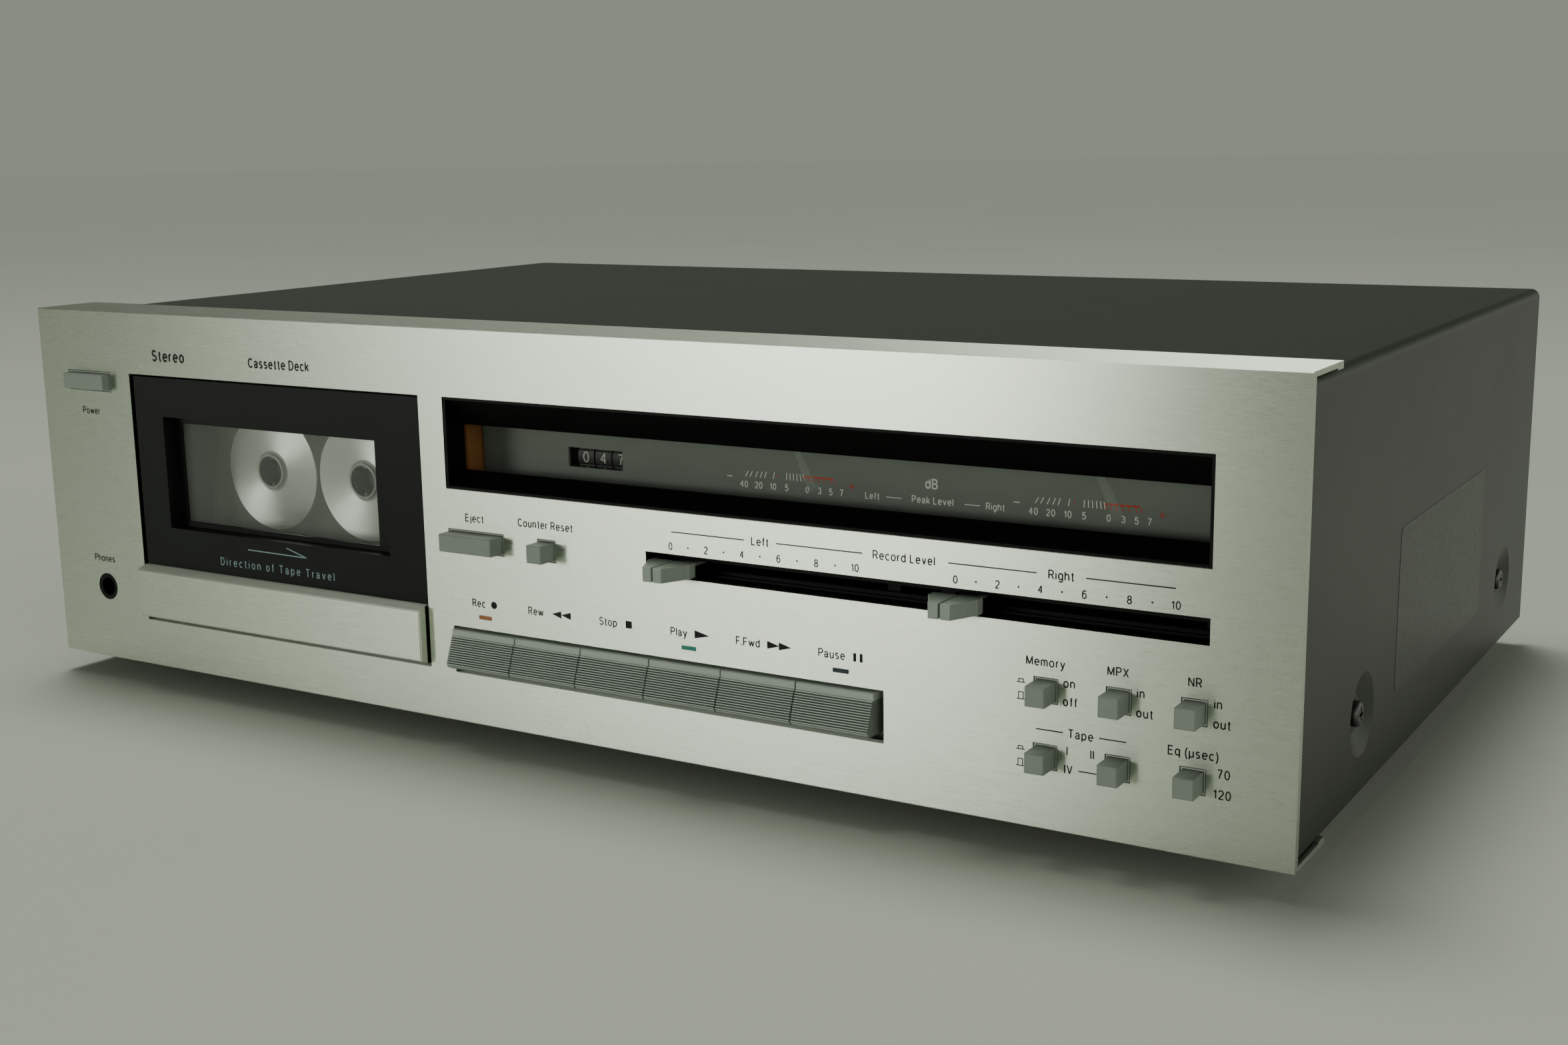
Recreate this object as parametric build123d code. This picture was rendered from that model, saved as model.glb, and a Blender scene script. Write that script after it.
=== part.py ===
"""Full-size cassette deck with a brushed aluminium front, modelled piece by piece.

Every piece is drawn in panel coordinates and moved to the part's own frame when it is written:
x runs left to right along the front panel from its middle, y runs to the rear from the panel's
front face, and z runs up from the panel's bottom edge. All sizes are in millimetres.
"""

import math
import os

from build123d import *

# ------------------------------------------------------------------ driving dimensions
PANEL_W = 450.0
PANEL_H = 123.5
PANEL_T = 2.5
LEDGE_DEPTH = 25.0
LEDGE_T = 1.4
LIP_T = 1.9
LIP_DEPTH = 5.0
FOOT_H = 7.5
FOOT_R = 14.0
FOOT_X = 175.0
FOOT_Y = (45.0, 240.0)
FOOT_SEAT_Z = -4.0
SCREW_R = 1.88
REAR_SCREWS = [(x, z) for x in (-205.0, 0.0, 205.0) for z in (12.0, 112.0)]
SHEET_T = 1.0
COVER_HALF_W = 223.8
COVER_TOP = 121.4
COVER_BOTTOM = 2.1
COVER_FRONT = 6.0
COVER_REAR = 280.0
BEND_R = 3.0
PAN_T = 1.2
PAN_TOP = COVER_BOTTOM + PAN_T
FLANGE_X = 220.2
REAR_PANEL_Y = 276.6
JACK_PROUD = 7.4
PLATE_T = 2.0

# Openings in the front panel, as (x0, x1, z0, z1).
WINDOW = (-40.8, 202.2, 74.2, 102.6)
SLOT = (33.6, 202.05, 55.0, 61.95)
KEY_OPENING = (-40.4, 111.35, 15.95, 30.95)
DOOR_OPENING = (-180.5, -50.5, 16.25, 102.55)
POWER_OPENING = (-211.4, -189.8, 95.55, 102.55)
EJECT_OPENING = (-40.7, -18.8, 54.9, 61.9)
RESET_OPENING = (-6.0, 0.95, 54.9, 61.9)

# Square push buttons: three columns and two rows of 7 mm openings.
BUTTON_X = (158.85, 178.75, 198.6)
BUTTON_Z = (37.7, 19.85)
BUTTON_OPENING = 6.95
CAP = 5.4
CAP_CHAMFER = 0.22
BEZEL_GAP = 0.25
BEZEL_INSIDE = 0.62
BUTTON_NAMES = (
    ("memory_button", "filter_button", "noise_reduction_button"),
    ("tape_button_one", "tape_button_two", "equaliser_button"),
)
BUTTON_PROUD = 7.4
POWER_PROUD = 3.2
EJECT_PROUD = 5.8
RESET_PROUD = 6.6

# Transport keys.
KEY_NAMES = ("record_key", "rewind_key", "stop_key", "play_key", "forward_key", "pause_key")
KEY_X0 = -40.0
KEY_PITCH = 24.9
KEY_W = 24.4
KEY_PIVOT = (9.0, 38.0)
KEY_SHAFT_R = 1.5
KEY_TOP = 30.15
KEY_REST_Z = 28.1
KEY_RIBS = 13
RIB_PITCH = 0.67
RIB_DEPTH = 0.55
RIB_LEAN = 0.25

# Record level sliders.
KNOB_Z = 57.7
KNOB_H = 4.2
KNOB_PROUD = 9.7
KNOB_X = (42.45, 132.9)
KNOB_FRONT_HALF = 3.2
KNOB_BASE_HALF = 7.2
GROOVE_HALF = 0.35
SLIDE_TRAVEL = 60.0

# Meter window.
PANE_Y = 8.7
PANE_T = 1.5
SCALE_Y = 18.7
SCALE_T = 1.0
SIGHT_Z = (79.0, 93.2)
METER_X = (71.3, 162.0)
METER_PIVOT_Z = 103.0
NEEDLE_Y = 14.0
NEEDLE_LEN = 24.0
NEEDLE_T = 0.6
NEEDLE_TIP_HALF = 1.7
NEEDLE_LEAN_DEG = 26.0
COUNTER_X = (-2.5, 4.0, 10.5)
COUNTER_Y = 28.6
COUNTER_Z = 83.7
COUNTER_R = 7.8
COUNTER_W = 5.9
COUNTER_CUT = (-7.5, 12.7, 80.8, 86.8)

# Cassette door, cassette and transport.
DOOR_X = (-179.7, -51.3)
HINGE = (5.0, 14.5)
RECESS = (-166.5, -66.5, 50.0, 88.4)
SIGHT = (-163.4, -75.2, 51.6, 85.8)
TAPE_X = -115.9
TAPE_Z0 = 34.0
SHELL_W = 100.4
SHELL_H = 63.8
SHELL_Y = (19.65, 28.35)
SHELL_WALL = 1.2
HUB_Z = 68.9
HUB_DX = 21.25
REEL_R = 20.4
HUB_BORE_R = 5.0
CAPSTAN_DX = 21.0
CAPSTAN_Z = 43.5
CAPSTAN_R = 1.25
FLYWHEEL_R = {"supply": 19.5, "takeup": 21.5}
PULLEY_R = 5.0
MOTOR_Z = 88.0
FLYWHEEL_Y = (50.0, 61.0)
BELT_Y = (52.5, 58.5)
ROLLER_R = 6.0
ROLLER_Z = 27.0
TRANSPORT_Y = (36.0, 38.0)
SIDES = {"supply": -1, "takeup": 1}

# Connectors.
PHONES = (-200.3, 25.9)
PHONES_BORE_R = 3.2
RCA_X = (150.0, 168.0)
RCA_Z = (34.0, 54.0)
RCA_R = 4.15
INLET = (-170.0, 60.0)

BODY_DEPTH = REAR_PANEL_Y + PAN_T + 2.0 + JACK_PROUD
MID_Y = (BODY_DEPTH - KNOB_PROUD) / 2
TO_ROW = Location((0, -MID_Y, FOOT_H))


# ------------------------------------------------------------------ drawing helpers
def block(x0, x1, y0, y1, z0, z1):
    """A box between two corners."""
    centre = ((x0 + x1) / 2, (y0 + y1) / 2, (z0 + z1) / 2)
    return Pos(*centre) * Box(x1 - x0, y1 - y0, z1 - z0)


def rod_x(y, z, radius, x0, x1):
    return Pos((x0 + x1) / 2, y, z) * Rot(0, 90, 0) * Cylinder(radius, x1 - x0)


def rod_y(x, z, radius, y0, y1):
    return Pos(x, (y0 + y1) / 2, z) * Rot(90, 0, 0) * Cylinder(radius, y1 - y0)


def rod_z(x, y, radius, z0, z1):
    return Pos(x, y, (z0 + z1) / 2) * Cylinder(radius, z1 - z0)


def prism_x(points, x0, x1):
    """Extrude a (y, z) outline along x."""
    return extrude(Plane.YZ.offset(x0) * Polygon(*points, align=None), x1 - x0, dir=(1, 0, 0))


def prism_y(points, y0, y1):
    """Extrude an (x, z) outline along y."""
    face = Plane.XZ.offset(-y0) * Polygon(*points, align=None)
    return extrude(face, y1 - y0, dir=(0, 1, 0))


def prism_z(points, z0, z1):
    """Extrude an (x, y) outline along z."""
    return extrude(Plane.XY.offset(z0) * Polygon(*points, align=None), z1 - z0, dir=(0, 0, 1))


def through(opening, y0, y1, grow=0.0):
    """A cutter for a rectangular opening given as (x0, x1, z0, z1)."""
    x0, x1, z0, z1 = opening
    return block(x0 - grow, x1 + grow, y0, y1, z0 - grow, z1 + grow)


def frame(opening, y0, y1, outside, inside):
    """A rectangular ring round an opening."""
    return through(opening, y0, y1, outside) - through(opening, y0 - 1, y1 + 1, inside)


def square(x, z, side=BUTTON_OPENING):
    half = side / 2
    return (x - half, x + half, z - half, z + half)


def button_openings():
    return [square(x, z) for z in BUTTON_Z for x in BUTTON_X]


# ------------------------------------------------------------------ case
def front_panel():
    """Aluminium extrusion: front plate with a ledge on top and a return below."""
    lip_start = LEDGE_DEPTH - LIP_DEPTH
    profile = [
        (0.3, 0), (LEDGE_DEPTH, 0), (LEDGE_DEPTH, LIP_T), (lip_start, LIP_T), (lip_start, LEDGE_T),
        (PANEL_T, LEDGE_T), (PANEL_T, PANEL_H - LEDGE_T), (lip_start, PANEL_H - LEDGE_T),
        (lip_start, PANEL_H - LIP_T), (LEDGE_DEPTH, PANEL_H - LIP_T), (LEDGE_DEPTH, PANEL_H),
        (0.3, PANEL_H), (0, PANEL_H - 0.3), (0, 0.3),
    ]
    panel = prism_x(profile, -PANEL_W / 2, PANEL_W / 2)
    openings = [WINDOW, SLOT, KEY_OPENING, DOOR_OPENING, POWER_OPENING, EJECT_OPENING, RESET_OPENING]
    for opening in openings + button_openings():
        panel -= through(opening, -1, PANEL_T + 1)
    for x in indicator_x():
        panel -= through(indicator_face(x), -1, PANEL_T + 1, 0.05)
    panel -= rod_y(PHONES[0], PHONES[1], 4.75, -1, PANEL_T + 1)
    return panel


def dimple_places():
    return [(y, 24.0) for y in (62.0, 242.0)]


def top_cover():
    """Folded steel cover with two dished screw seats on each side."""
    outer = block(-COVER_HALF_W, COVER_HALF_W, COVER_FRONT, COVER_REAR, COVER_BOTTOM, COVER_TOP)
    outer = fillet(outer.edges().filter_by(Axis.Y).group_by(Axis.Z)[-1], BEND_R)
    inner_half = COVER_HALF_W - SHEET_T
    inner = block(-inner_half, inner_half, COVER_FRONT - 1, COVER_REAR + 1,
                  COVER_BOTTOM - 5, COVER_TOP - SHEET_T)
    inner = fillet(inner.edges().filter_by(Axis.Y).group_by(Axis.Z)[-1], BEND_R - SHEET_T)
    cover = outer - inner
    depth = 2.4
    for side in (-1, 1):
        for y, z in dimple_places():
            turn = Rot(0, -90 * side, 0)
            bulge = Pos(side * (COVER_HALF_W - SHEET_T - depth / 2), y, z) * turn * Cone(12.2, 6.4, depth)
            dish = Pos(side * (COVER_HALF_W - depth / 2), y, z) * turn * Cone(11.7, 5.6, depth)
            seat = Pos(side * (COVER_HALF_W + 0.5), y, z) * turn * Cylinder(11.7, 1.0)
            hole = Pos(side * COVER_HALF_W, y, z) * turn * Cylinder(2.3, 20)
            cover = cover + bulge - dish - seat - hole
    return cover


def base_pan():
    """Steel bottom pan with side flanges, the door's hinge tabs and two board rails."""
    pan = block(-FLANGE_X, FLANGE_X, 3.0, REAR_PANEL_Y - 0.2, COVER_BOTTOM, PAN_TOP)
    for side in (-1, 1):
        x = side * (FLANGE_X - PAN_T / 2)
        pan += block(x - PAN_T / 2, x + PAN_T / 2, 8.0, REAR_PANEL_Y - 0.2, PAN_TOP - 0.5, 50.0)
        for y, z in dimple_places():
            pan -= rod_x(y, z, 1.95, x - 5, x + 5)
    for side in (-1, 1):
        for y in FOOT_Y:
            pan -= rod_z(side * FOOT_X, y, SCREW_R + 0.07, 0, 10)
    for y in (90.0, 250.0):
        pan += block(-20.0, 200.0, y - 3, y + 3, PAN_TOP - 0.5, 16.0)
    for tab_x, pin in ((-171.7, -176.2), (-59.3, -54.8)):
        inner = tab_x + (1.5 if pin < tab_x else -1.5)
        low, high = sorted((tab_x, inner))
        pan += block(low, high, 2.9, 12.0, PAN_TOP - 0.5, 17.2)
        low, high = sorted((inner, pin))
        pan += rod_x(HINGE[0], HINGE[1], 1.2, low, high)
    return pan


def foot(x, y):
    body = rod_z(x, y, FOOT_R, -FOOT_H, COVER_BOTTOM)
    body = chamfer(body.edges().group_by(Axis.Z)[0], 1.5)
    body -= rod_z(x, y, SCREW_R + 0.07, -FOOT_H, COVER_BOTTOM + 1)
    return body - rod_z(x, y, 5.0, -FOOT_H - 1, FOOT_SEAT_Z)


def feet():
    return [foot(side * FOOT_X, y) for side in (-1, 1) for y in FOOT_Y]


def pan_screw(place, length=6.0):
    """A cross-recess pan-head screw along +z of its own place, head down at z=0."""
    head = Pos(0, 0, -1.1) * Cylinder(3.6, 2.2)
    head = fillet(head.edges().group_by(Axis.Z)[0], 1.3)
    for turn in (0, 90):
        head -= Pos(0, 0, -2.0) * Rot(0, 0, turn) * Box(3.6, 0.8, 1.6)
    return place * (head + Pos(0, 0, length / 2) * Cylinder(SCREW_R, length))


def case_screws():
    """Four side screws that hold the cover, four foot screws and six rear-panel screws."""
    screws = []
    for side in (-1, 1):
        for y, z in dimple_places():
            seat = Location((side * (COVER_HALF_W - 2.4), y, z), (0, -90 * side, 0))
            screws.append(pan_screw(seat, 4.5))
        for y in FOOT_Y:
            seat = Location((side * FOOT_X, y, FOOT_SEAT_Z))
            screws.append(pan_screw(seat, PAN_TOP - 0.1 - FOOT_SEAT_Z))
    for x, z in REAR_SCREWS:
        screws.append(pan_screw(Location((x, REAR_PANEL_Y + PAN_T, z), (90, 0, 0)), 5.0))
    return screws


def rear_panel():
    """Steel rear panel with vents, jack holes and the mains inlet's cut-out."""
    y0 = REAR_PANEL_Y
    y1 = y0 + PAN_T
    panel = block(-222.3, 222.3, y0, y1, 2.6, 119.8)
    for x in RCA_X:
        for z in RCA_Z:
            panel -= rod_y(x, z, 5.2, y0 - 1, y1 + 1)
    panel -= block(INLET[0] - 14, INLET[0] + 14, y0 - 1, y1 + 1, INLET[1] - 8, INLET[1] + 8)
    for i in range(16):
        x = -120.0 + i * 7.0
        panel -= block(x, x + 2.6, y0 - 1, y1 + 1, 60.0, 95.0)
    for x, z in REAR_SCREWS:
        panel -= rod_y(x, z, SCREW_R + 0.07, y0 - 1, y1 + 1)
    return panel


def rear_connectors():
    """Four phono jacks on their insulating plate, and a two-pin mains inlet."""
    y0 = REAR_PANEL_Y + PAN_T
    plate_x = (RCA_X[0] - 12, RCA_X[1] + 12)
    plate = block(*plate_x, y0, y0 + 2.0, RCA_Z[0] - 11, RCA_Z[1] + 11)
    pieces = [plate]
    for x in RCA_X:
        for z in RCA_Z:
            jack = rod_y(x, z, RCA_R, y0 - 6, y0 + 2.0 + JACK_PROUD)
            jack += rod_y(x, z, 5.1, y0 + 1.0, y0 + 3.2)
            jack -= rod_y(x, z, 1.6, y0 - 2, y0 + 3.0 + JACK_PROUD)
            pieces[0] += jack
    x, z = INLET
    inlet = block(x - 13.8, x + 13.8, y0 - 18, y0, z - 7.8, z + 7.8)
    inlet += block(x - 19, x + 19, y0, y0 + 2.0, z - 11, z + 11)
    inlet -= block(x - 10, x + 10, y0 - 15, y0 + 3, z - 4.5, z + 4.5)
    for dx in (-4.3, 4.3):
        inlet += rod_y(x + dx, z, 1.15, y0 - 16, y0 - 6)
    pieces.append(inlet)
    return pieces


# ------------------------------------------------------------------ buttons and bezels
def cap_block(opening_centre, width, height, y0, y1):
    """A button cap with bevelled front edges."""
    x, z = opening_centre
    cap = block(x - width / 2, x + width / 2, y0, y1, z - height / 2, z + height / 2)
    return chamfer(cap.edges().group_by(Axis.Y)[0], CAP_CHAMFER)


def push_button(x, z, width, proud, stem=3.0, stem_end=18.0):
    cap = cap_block((x, z), width, CAP, -proud, 6.0)
    return cap + block(x - stem / 2, x + stem / 2, 5.5, stem_end, z - stem / 2, z + stem / 2)


def centre_of(opening):
    return ((opening[0] + opening[1]) / 2, (opening[2] + opening[3]) / 2)


def wide_controls():
    """The three buttons outside the square bank: name, opening, cap width and how far it stands."""
    return (
        ("power_button", POWER_OPENING, 20.0, POWER_PROUD),
        ("eject_button", EJECT_OPENING, 20.2, EJECT_PROUD),
        ("counter_reset_button", RESET_OPENING, CAP, RESET_PROUD),
    )


def button_bezels():
    """A thin moulded frame in each button opening, held by a flange behind the panel."""
    bezels = []
    openings = button_openings() + [POWER_OPENING, EJECT_OPENING, RESET_OPENING]
    for opening in openings:
        ring = frame(opening, 0.2, 3.0, -BEZEL_GAP, -BEZEL_INSIDE)
        ring += frame(opening, PANEL_T + 0.05, 4.2, 1.4, -BEZEL_INSIDE)
        bezels.append(ring)
    return bezels


def push_switches():
    """Switch bodies with their mounting brackets, bored for the buttons' stems."""
    x0, x1 = BUTTON_X[0] - 10, BUTTON_X[-1] + 9
    bracket = block(x0, x1, 10.6, 11.8, PAN_TOP + 0.1, 46.0)
    bodies = []
    for z in BUTTON_Z:
        for x in BUTTON_X:
            bracket -= through(square(x, z, 4.2), 9, 13)
            body = block(x - 5, x + 5, 12.4, 38.0, z - 5, z + 5)
            bodies.append(body - through(square(x, z, 3.4), 11, 26))
    solids = [bracket + block(x0, x1, 10.6, 24.0, PAN_TOP + 0.1, PAN_TOP + 1.3)] + bodies
    for _, opening, width, _ in wide_controls():
        x, z = centre_of(opening)
        half = min(width / 2, 7.0)
        body = block(x - half, x + half, 12.4, 40.0, z - 5.5, z + 5.5)
        solids.append(body - through(square(x, z, 3.4), 11, 26))
    return solids


# ------------------------------------------------------------------ transport keys
def key_profile():
    """Outline of a key in (y, z): smooth strip, stepped ribs on a slope, foot and flat back."""
    points = [(-1.0, KEY_TOP), (-1.4, KEY_TOP - 0.3), (-1.45, KEY_REST_Z)]
    for i in range(KEY_RIBS):
        z = KEY_REST_Z - i * RIB_PITCH
        y = -1.45 - i * RIB_LEAN
        points.append((y - RIB_DEPTH, z - 0.14))
        points.append((y - RIB_DEPTH, z - 0.34))
        points.append((y - 0.05, z - 0.42))
        points.append((y - RIB_LEAN, z - RIB_PITCH))
    points += [(-4.4, 18.8), (-3.6, 18.2), (4.5, 18.0), (4.5, KEY_TOP)]
    return points


def transport_key(index):
    x0 = KEY_X0 + index * KEY_PITCH
    x1 = x0 + KEY_W
    y, z = KEY_PIVOT
    arm = [(3.2, 27.0), (3.2, 31.0), (y - 3.0, z), (y - 1.5, z + 2.8), (y + 1.5, z + 2.8),
           (y + 3.0, z), (8.5, 31.5), (4.5, 27.0)]
    key = prism_x(key_profile(), x0, x1)
    for a in (x0 + 1.2, x1 - 3.6):
        key += prism_x(arm, a, a + 2.4)
    key += block((x0 + x1) / 2 - 2, (x0 + x1) / 2 + 2, 4.0, 8.0, 19.5, 22.5)
    return key - rod_x(y, z, KEY_SHAFT_R + 0.05, x0 - 1, x1 + 1)


def key_frame():
    """Bracket and shaft that carry the six keys, with the switch board behind them."""
    y, z = KEY_PIVOT
    left, right = -42.9, 112.4
    bracket = block(left, right, 5.0, 30.0, PAN_TOP + 0.1, PAN_TOP + 1.3)
    for x in (left, right - 1.4):
        bracket += block(x, x + 1.4, 5.0, 30.0, PAN_TOP + 0.1, z + 4)
    bracket += rod_x(y, z, KEY_SHAFT_R, left, right)
    board = block(left + 1.4, right - 1.4, 13.2, 14.8, PAN_TOP + 1.3, 32.0)
    for i in range(6):
        x = KEY_X0 + i * KEY_PITCH + KEY_W / 2
        board += block(x - 3, x + 3, 11.0, 13.2, 18.0, 24.0)
        board += rod_y(x, 21.0, 1.6, 10.2, 11.5)
    return bracket + board


def indicator_x():
    return [-27.5, 47.85, 98.05]


def indicator_face(x):
    return (x - 2.5, x + 2.5, 34.2, 35.4)


def indicators():
    """Three coloured light windows above the record, play and pause keys."""
    lenses = []
    for x in indicator_x():
        lens = through(indicator_face(x), 0.05, 3.0)
        lenses.append(lens + block(x - 3.2, x + 3.2, PANEL_T + 0.1, 5.6, 33.2, 36.2))
    return lenses


# ------------------------------------------------------------------ level sliders
def slider_knob(index):
    """Wedge-shaped knob with a pointer groove and ribbed flanks, on a flat steel lever."""
    x = KNOB_X[index]
    z0, z1 = KNOB_Z - KNOB_H / 2, KNOB_Z + KNOB_H / 2
    front, base = -KNOB_PROUD, -1.6
    ribs = 15
    outline = [(x - KNOB_FRONT_HALF, front), (x + KNOB_FRONT_HALF, front)]
    right = []
    for i in range(ribs):
        t0 = i / ribs
        t1 = (i + 0.62) / ribs
        half0 = KNOB_FRONT_HALF + 0.25 + t0 * (KNOB_BASE_HALF - KNOB_FRONT_HALF - 0.5)
        half1 = KNOB_FRONT_HALF + 0.25 + t1 * (KNOB_BASE_HALF - KNOB_FRONT_HALF - 0.5)
        y0 = front + 0.5 + t0 * (base - front - 0.5)
        y1 = front + 0.5 + t1 * (base - front - 0.5)
        right += [(half0 - 0.22, y0), (half0, y0 + 0.05), (half1, y1), (half1 - 0.22, y1 + 0.05)]
    right += [(KNOB_BASE_HALF, base), (KNOB_BASE_HALF, 1.6)]
    outline += [(x + half, y) for half, y in right]
    outline += [(x - half, y) for half, y in reversed(right)]
    knob = prism_z(outline, z0, z1)
    left, right = x - GROOVE_HALF, x + GROOVE_HALF
    knob -= block(left, right, front - 1, 2.0, z1 - 1.1, z1 + 1)
    knob -= block(left, right, front - 1, front + 1.6, z0 - 1, z1 + 1)
    return knob + block(x - 3, x + 3, 1.0, 17.0, KNOB_Z - 0.6, KNOB_Z + 0.6)


def slide_pots():
    """Black slot channel behind the panel and two slide potentiometers behind it."""
    x0, x1, z0, z1 = SLOT
    channel = block(x0 - 4, x1 + 3, PANEL_T + 0.1, 9.5, z0 - 4, z1 + 4)
    channel -= block(x0, x1, 1.0, 8.0, z0 - 0.3, z1 + 0.3)
    channel -= block(x0 + 2, x1 - 2, 7.0, 11.0, KNOB_Z - 1.1, KNOB_Z + 1.1)
    channel += block(x0 - 0.2, x1 + 0.2, 6.4, 8.0, KNOB_Z - 2.7, KNOB_Z - 2.1)
    channel += block(x0 - 0.2, x1 + 0.2, 6.4, 8.0, KNOB_Z + 2.1, KNOB_Z + 2.7)
    solids = [channel]
    for x in KNOB_X:
        low = x - 9
        high = x + SLIDE_TRAVEL + 9
        pot = block(low, high, 10.0, 22.0, KNOB_Z - 6, KNOB_Z + 6)
        solids.append(pot - block(low + 4, high - 4, 9.0, 18.5, KNOB_Z - 1.1, KNOB_Z + 1.1))
    return solids


# ------------------------------------------------------------------ meter window
def meter_bezel():
    """Deep black surround that narrows from the panel opening to the smoked pane."""
    x0, x1, z0, z1 = WINDOW
    bezel = through(WINDOW, 0.3, PANE_Y - 0.1, -0.12)
    bezel += block(x0 - 3, x1 + 3, PANEL_T + 0.1, 4.5, z0 - 3, z1 + 3)
    outline = [(-1, z0 + 0.9), (1.0, z0 + 0.9), (8.0, SIGHT_Z[0]), (20, SIGHT_Z[0]),
               (20, SIGHT_Z[1]), (8.0, SIGHT_Z[1]), (1.0, z1 - 0.9), (-1, z1 - 0.9)]
    return bezel - prism_x(outline, x0 + 1.0, x1 - 1.0)


def meter_lens():
    pane = block(-41.0, 202.4, PANE_Y, PANE_Y + PANE_T, SIGHT_Z[0] - 2, SIGHT_Z[1] + 2)
    return chamfer(pane.edges().group_by(Axis.Y)[0], 0.3)


def scale_plate():
    """Grey scale plate with the counter's window cut in it."""
    plate = block(-40.8, 202.4, SCALE_Y, SCALE_Y + SCALE_T, 74.5, 97.0)
    return plate - through(COUNTER_CUT, SCALE_Y - 1, SCALE_Y + 2)


def amber_light_guide():
    """Amber end wall beside the scale."""
    guide = block(-42.6, -40.4, PANE_Y + PANE_T + 0.3, 17.0, 75.5, 97.0)
    return guide + block(-42.6, -41.4, 16.5, 30.0, 75.5, 97.0)


def meter_housing():
    """Moulded housing behind the window, with the counter's shaft and two meter movements."""
    x0, x1 = -45.6, 206.4
    y0, y1 = 10.6, 40.0
    z0, z1 = 70.6, 115.0
    wall = 1.6
    housing = block(x0, x1, y0, y1, z0, z1)
    housing -= block(x0 + wall + 1.2, x1 - wall, y0 - 1, y1 - wall, z0 + wall, z1 - wall)
    for x in (COUNTER_X[0] - 5.4, COUNTER_X[-1] + 3.6):
        housing += block(x, x + 1.6, 22.0, y1 - 0.5, COUNTER_Z - 3, COUNTER_Z + 3)
    housing += rod_x(COUNTER_Y, COUNTER_Z, 1.0, COUNTER_X[0] - 5.0, COUNTER_X[-1] + 5.0)
    solids = [housing]
    for x in METER_X:
        can = block(x - 11, x + 11, 20.2, 36.0, METER_PIVOT_Z - 6, METER_PIVOT_Z + 8)
        can += rod_y(x, METER_PIVOT_Z, 5.0, 35.0, y1 - wall - 0.1)
        solids.append(can - rod_y(x, METER_PIVOT_Z, 0.86, 19.0, 32.0))
    return solids


def needle(index):
    """Clear blade that hangs from its pivot and widens to its tip, drawn leaning to the right."""
    hub = rod_y(0, 0, 2.4, NEEDLE_Y - 0.7, NEEDLE_Y + 0.7)
    hub += rod_y(0, 0, 0.8, NEEDLE_Y - 1.2, 30.0)
    front, back = NEEDLE_Y - NEEDLE_T / 2, NEEDLE_Y + NEEDLE_T / 2
    outline = [(-0.5, 0.0), (0.5, 0.0), (NEEDLE_TIP_HALF, -NEEDLE_LEN), (-NEEDLE_TIP_HALF, -NEEDLE_LEN)]
    blade = prism_y(outline, front, back)
    tail = prism_y([(-1.3, 0), (-1.6, 4.5), (1.6, 4.5), (1.3, 0)], front, back)
    return Pos(METER_X[index], 0, METER_PIVOT_Z) * Rot(0, -NEEDLE_LEAN_DEG, 0) * (hub + blade + tail)


def counter_wheel(index):
    """Number wheel with ten faint flats, bored for the counter's shaft."""
    x = COUNTER_X[index]
    wheel = rod_x(COUNTER_Y, COUNTER_Z, COUNTER_R, x - COUNTER_W / 2, x + COUNTER_W / 2)
    for i in range(10):
        angle = math.radians(18 + 36 * i)
        y = COUNTER_Y + (COUNTER_R + 0.25) * math.cos(angle)
        z = COUNTER_Z + (COUNTER_R + 0.25) * math.sin(angle)
        wheel -= rod_x(y, z, 0.55, x - COUNTER_W / 2 - 1, x + COUNTER_W / 2 + 1)
    return wheel - rod_x(COUNTER_Y, COUNTER_Z, 1.06, x - 5, x + 5)


# ------------------------------------------------------------------ cassette door
def door_panel():
    """Black door face with a recessed window."""
    x0, x1 = DOOR_X
    rx0, rx1, rz0, rz1 = RECESS
    face = block(x0, x1, 1.0, 3.4, 19.2, 101.7)
    face += block(rx0 - 1.8, rx1 + 1.8, 3.0, 6.8, rz0 - 1.8, rz1 + 1.8)
    face -= block(rx0, rx1, 0.0, 6.0, rz0, rz1)
    return face - through(SIGHT, 5.0, 8.0)


def door_trim_bar():
    """Brushed bar along the door's foot, bevelled above and below."""
    outline = [(1.0, 18.6), (0.4, 17.3), (-0.2, 17.3), (-3.2, 18.4), (-3.7, 18.9), (-3.7, 34.6),
               (-3.3, 35.1), (-0.2, 36.1), (1.0, 36.1)]
    bar = prism_x(outline, -179.9, -51.3)
    return chamfer(bar.edges().filter_by(Axis.Z).group_by(Axis.Y)[0], 0.5)


def door_lens():
    rx0, rx1, rz0, rz1 = RECESS
    return block(rx0 - 1.6, rx1 + 1.6, 6.9, 8.4, rz0 - 1.6, rz1 + 1.6)


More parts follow.
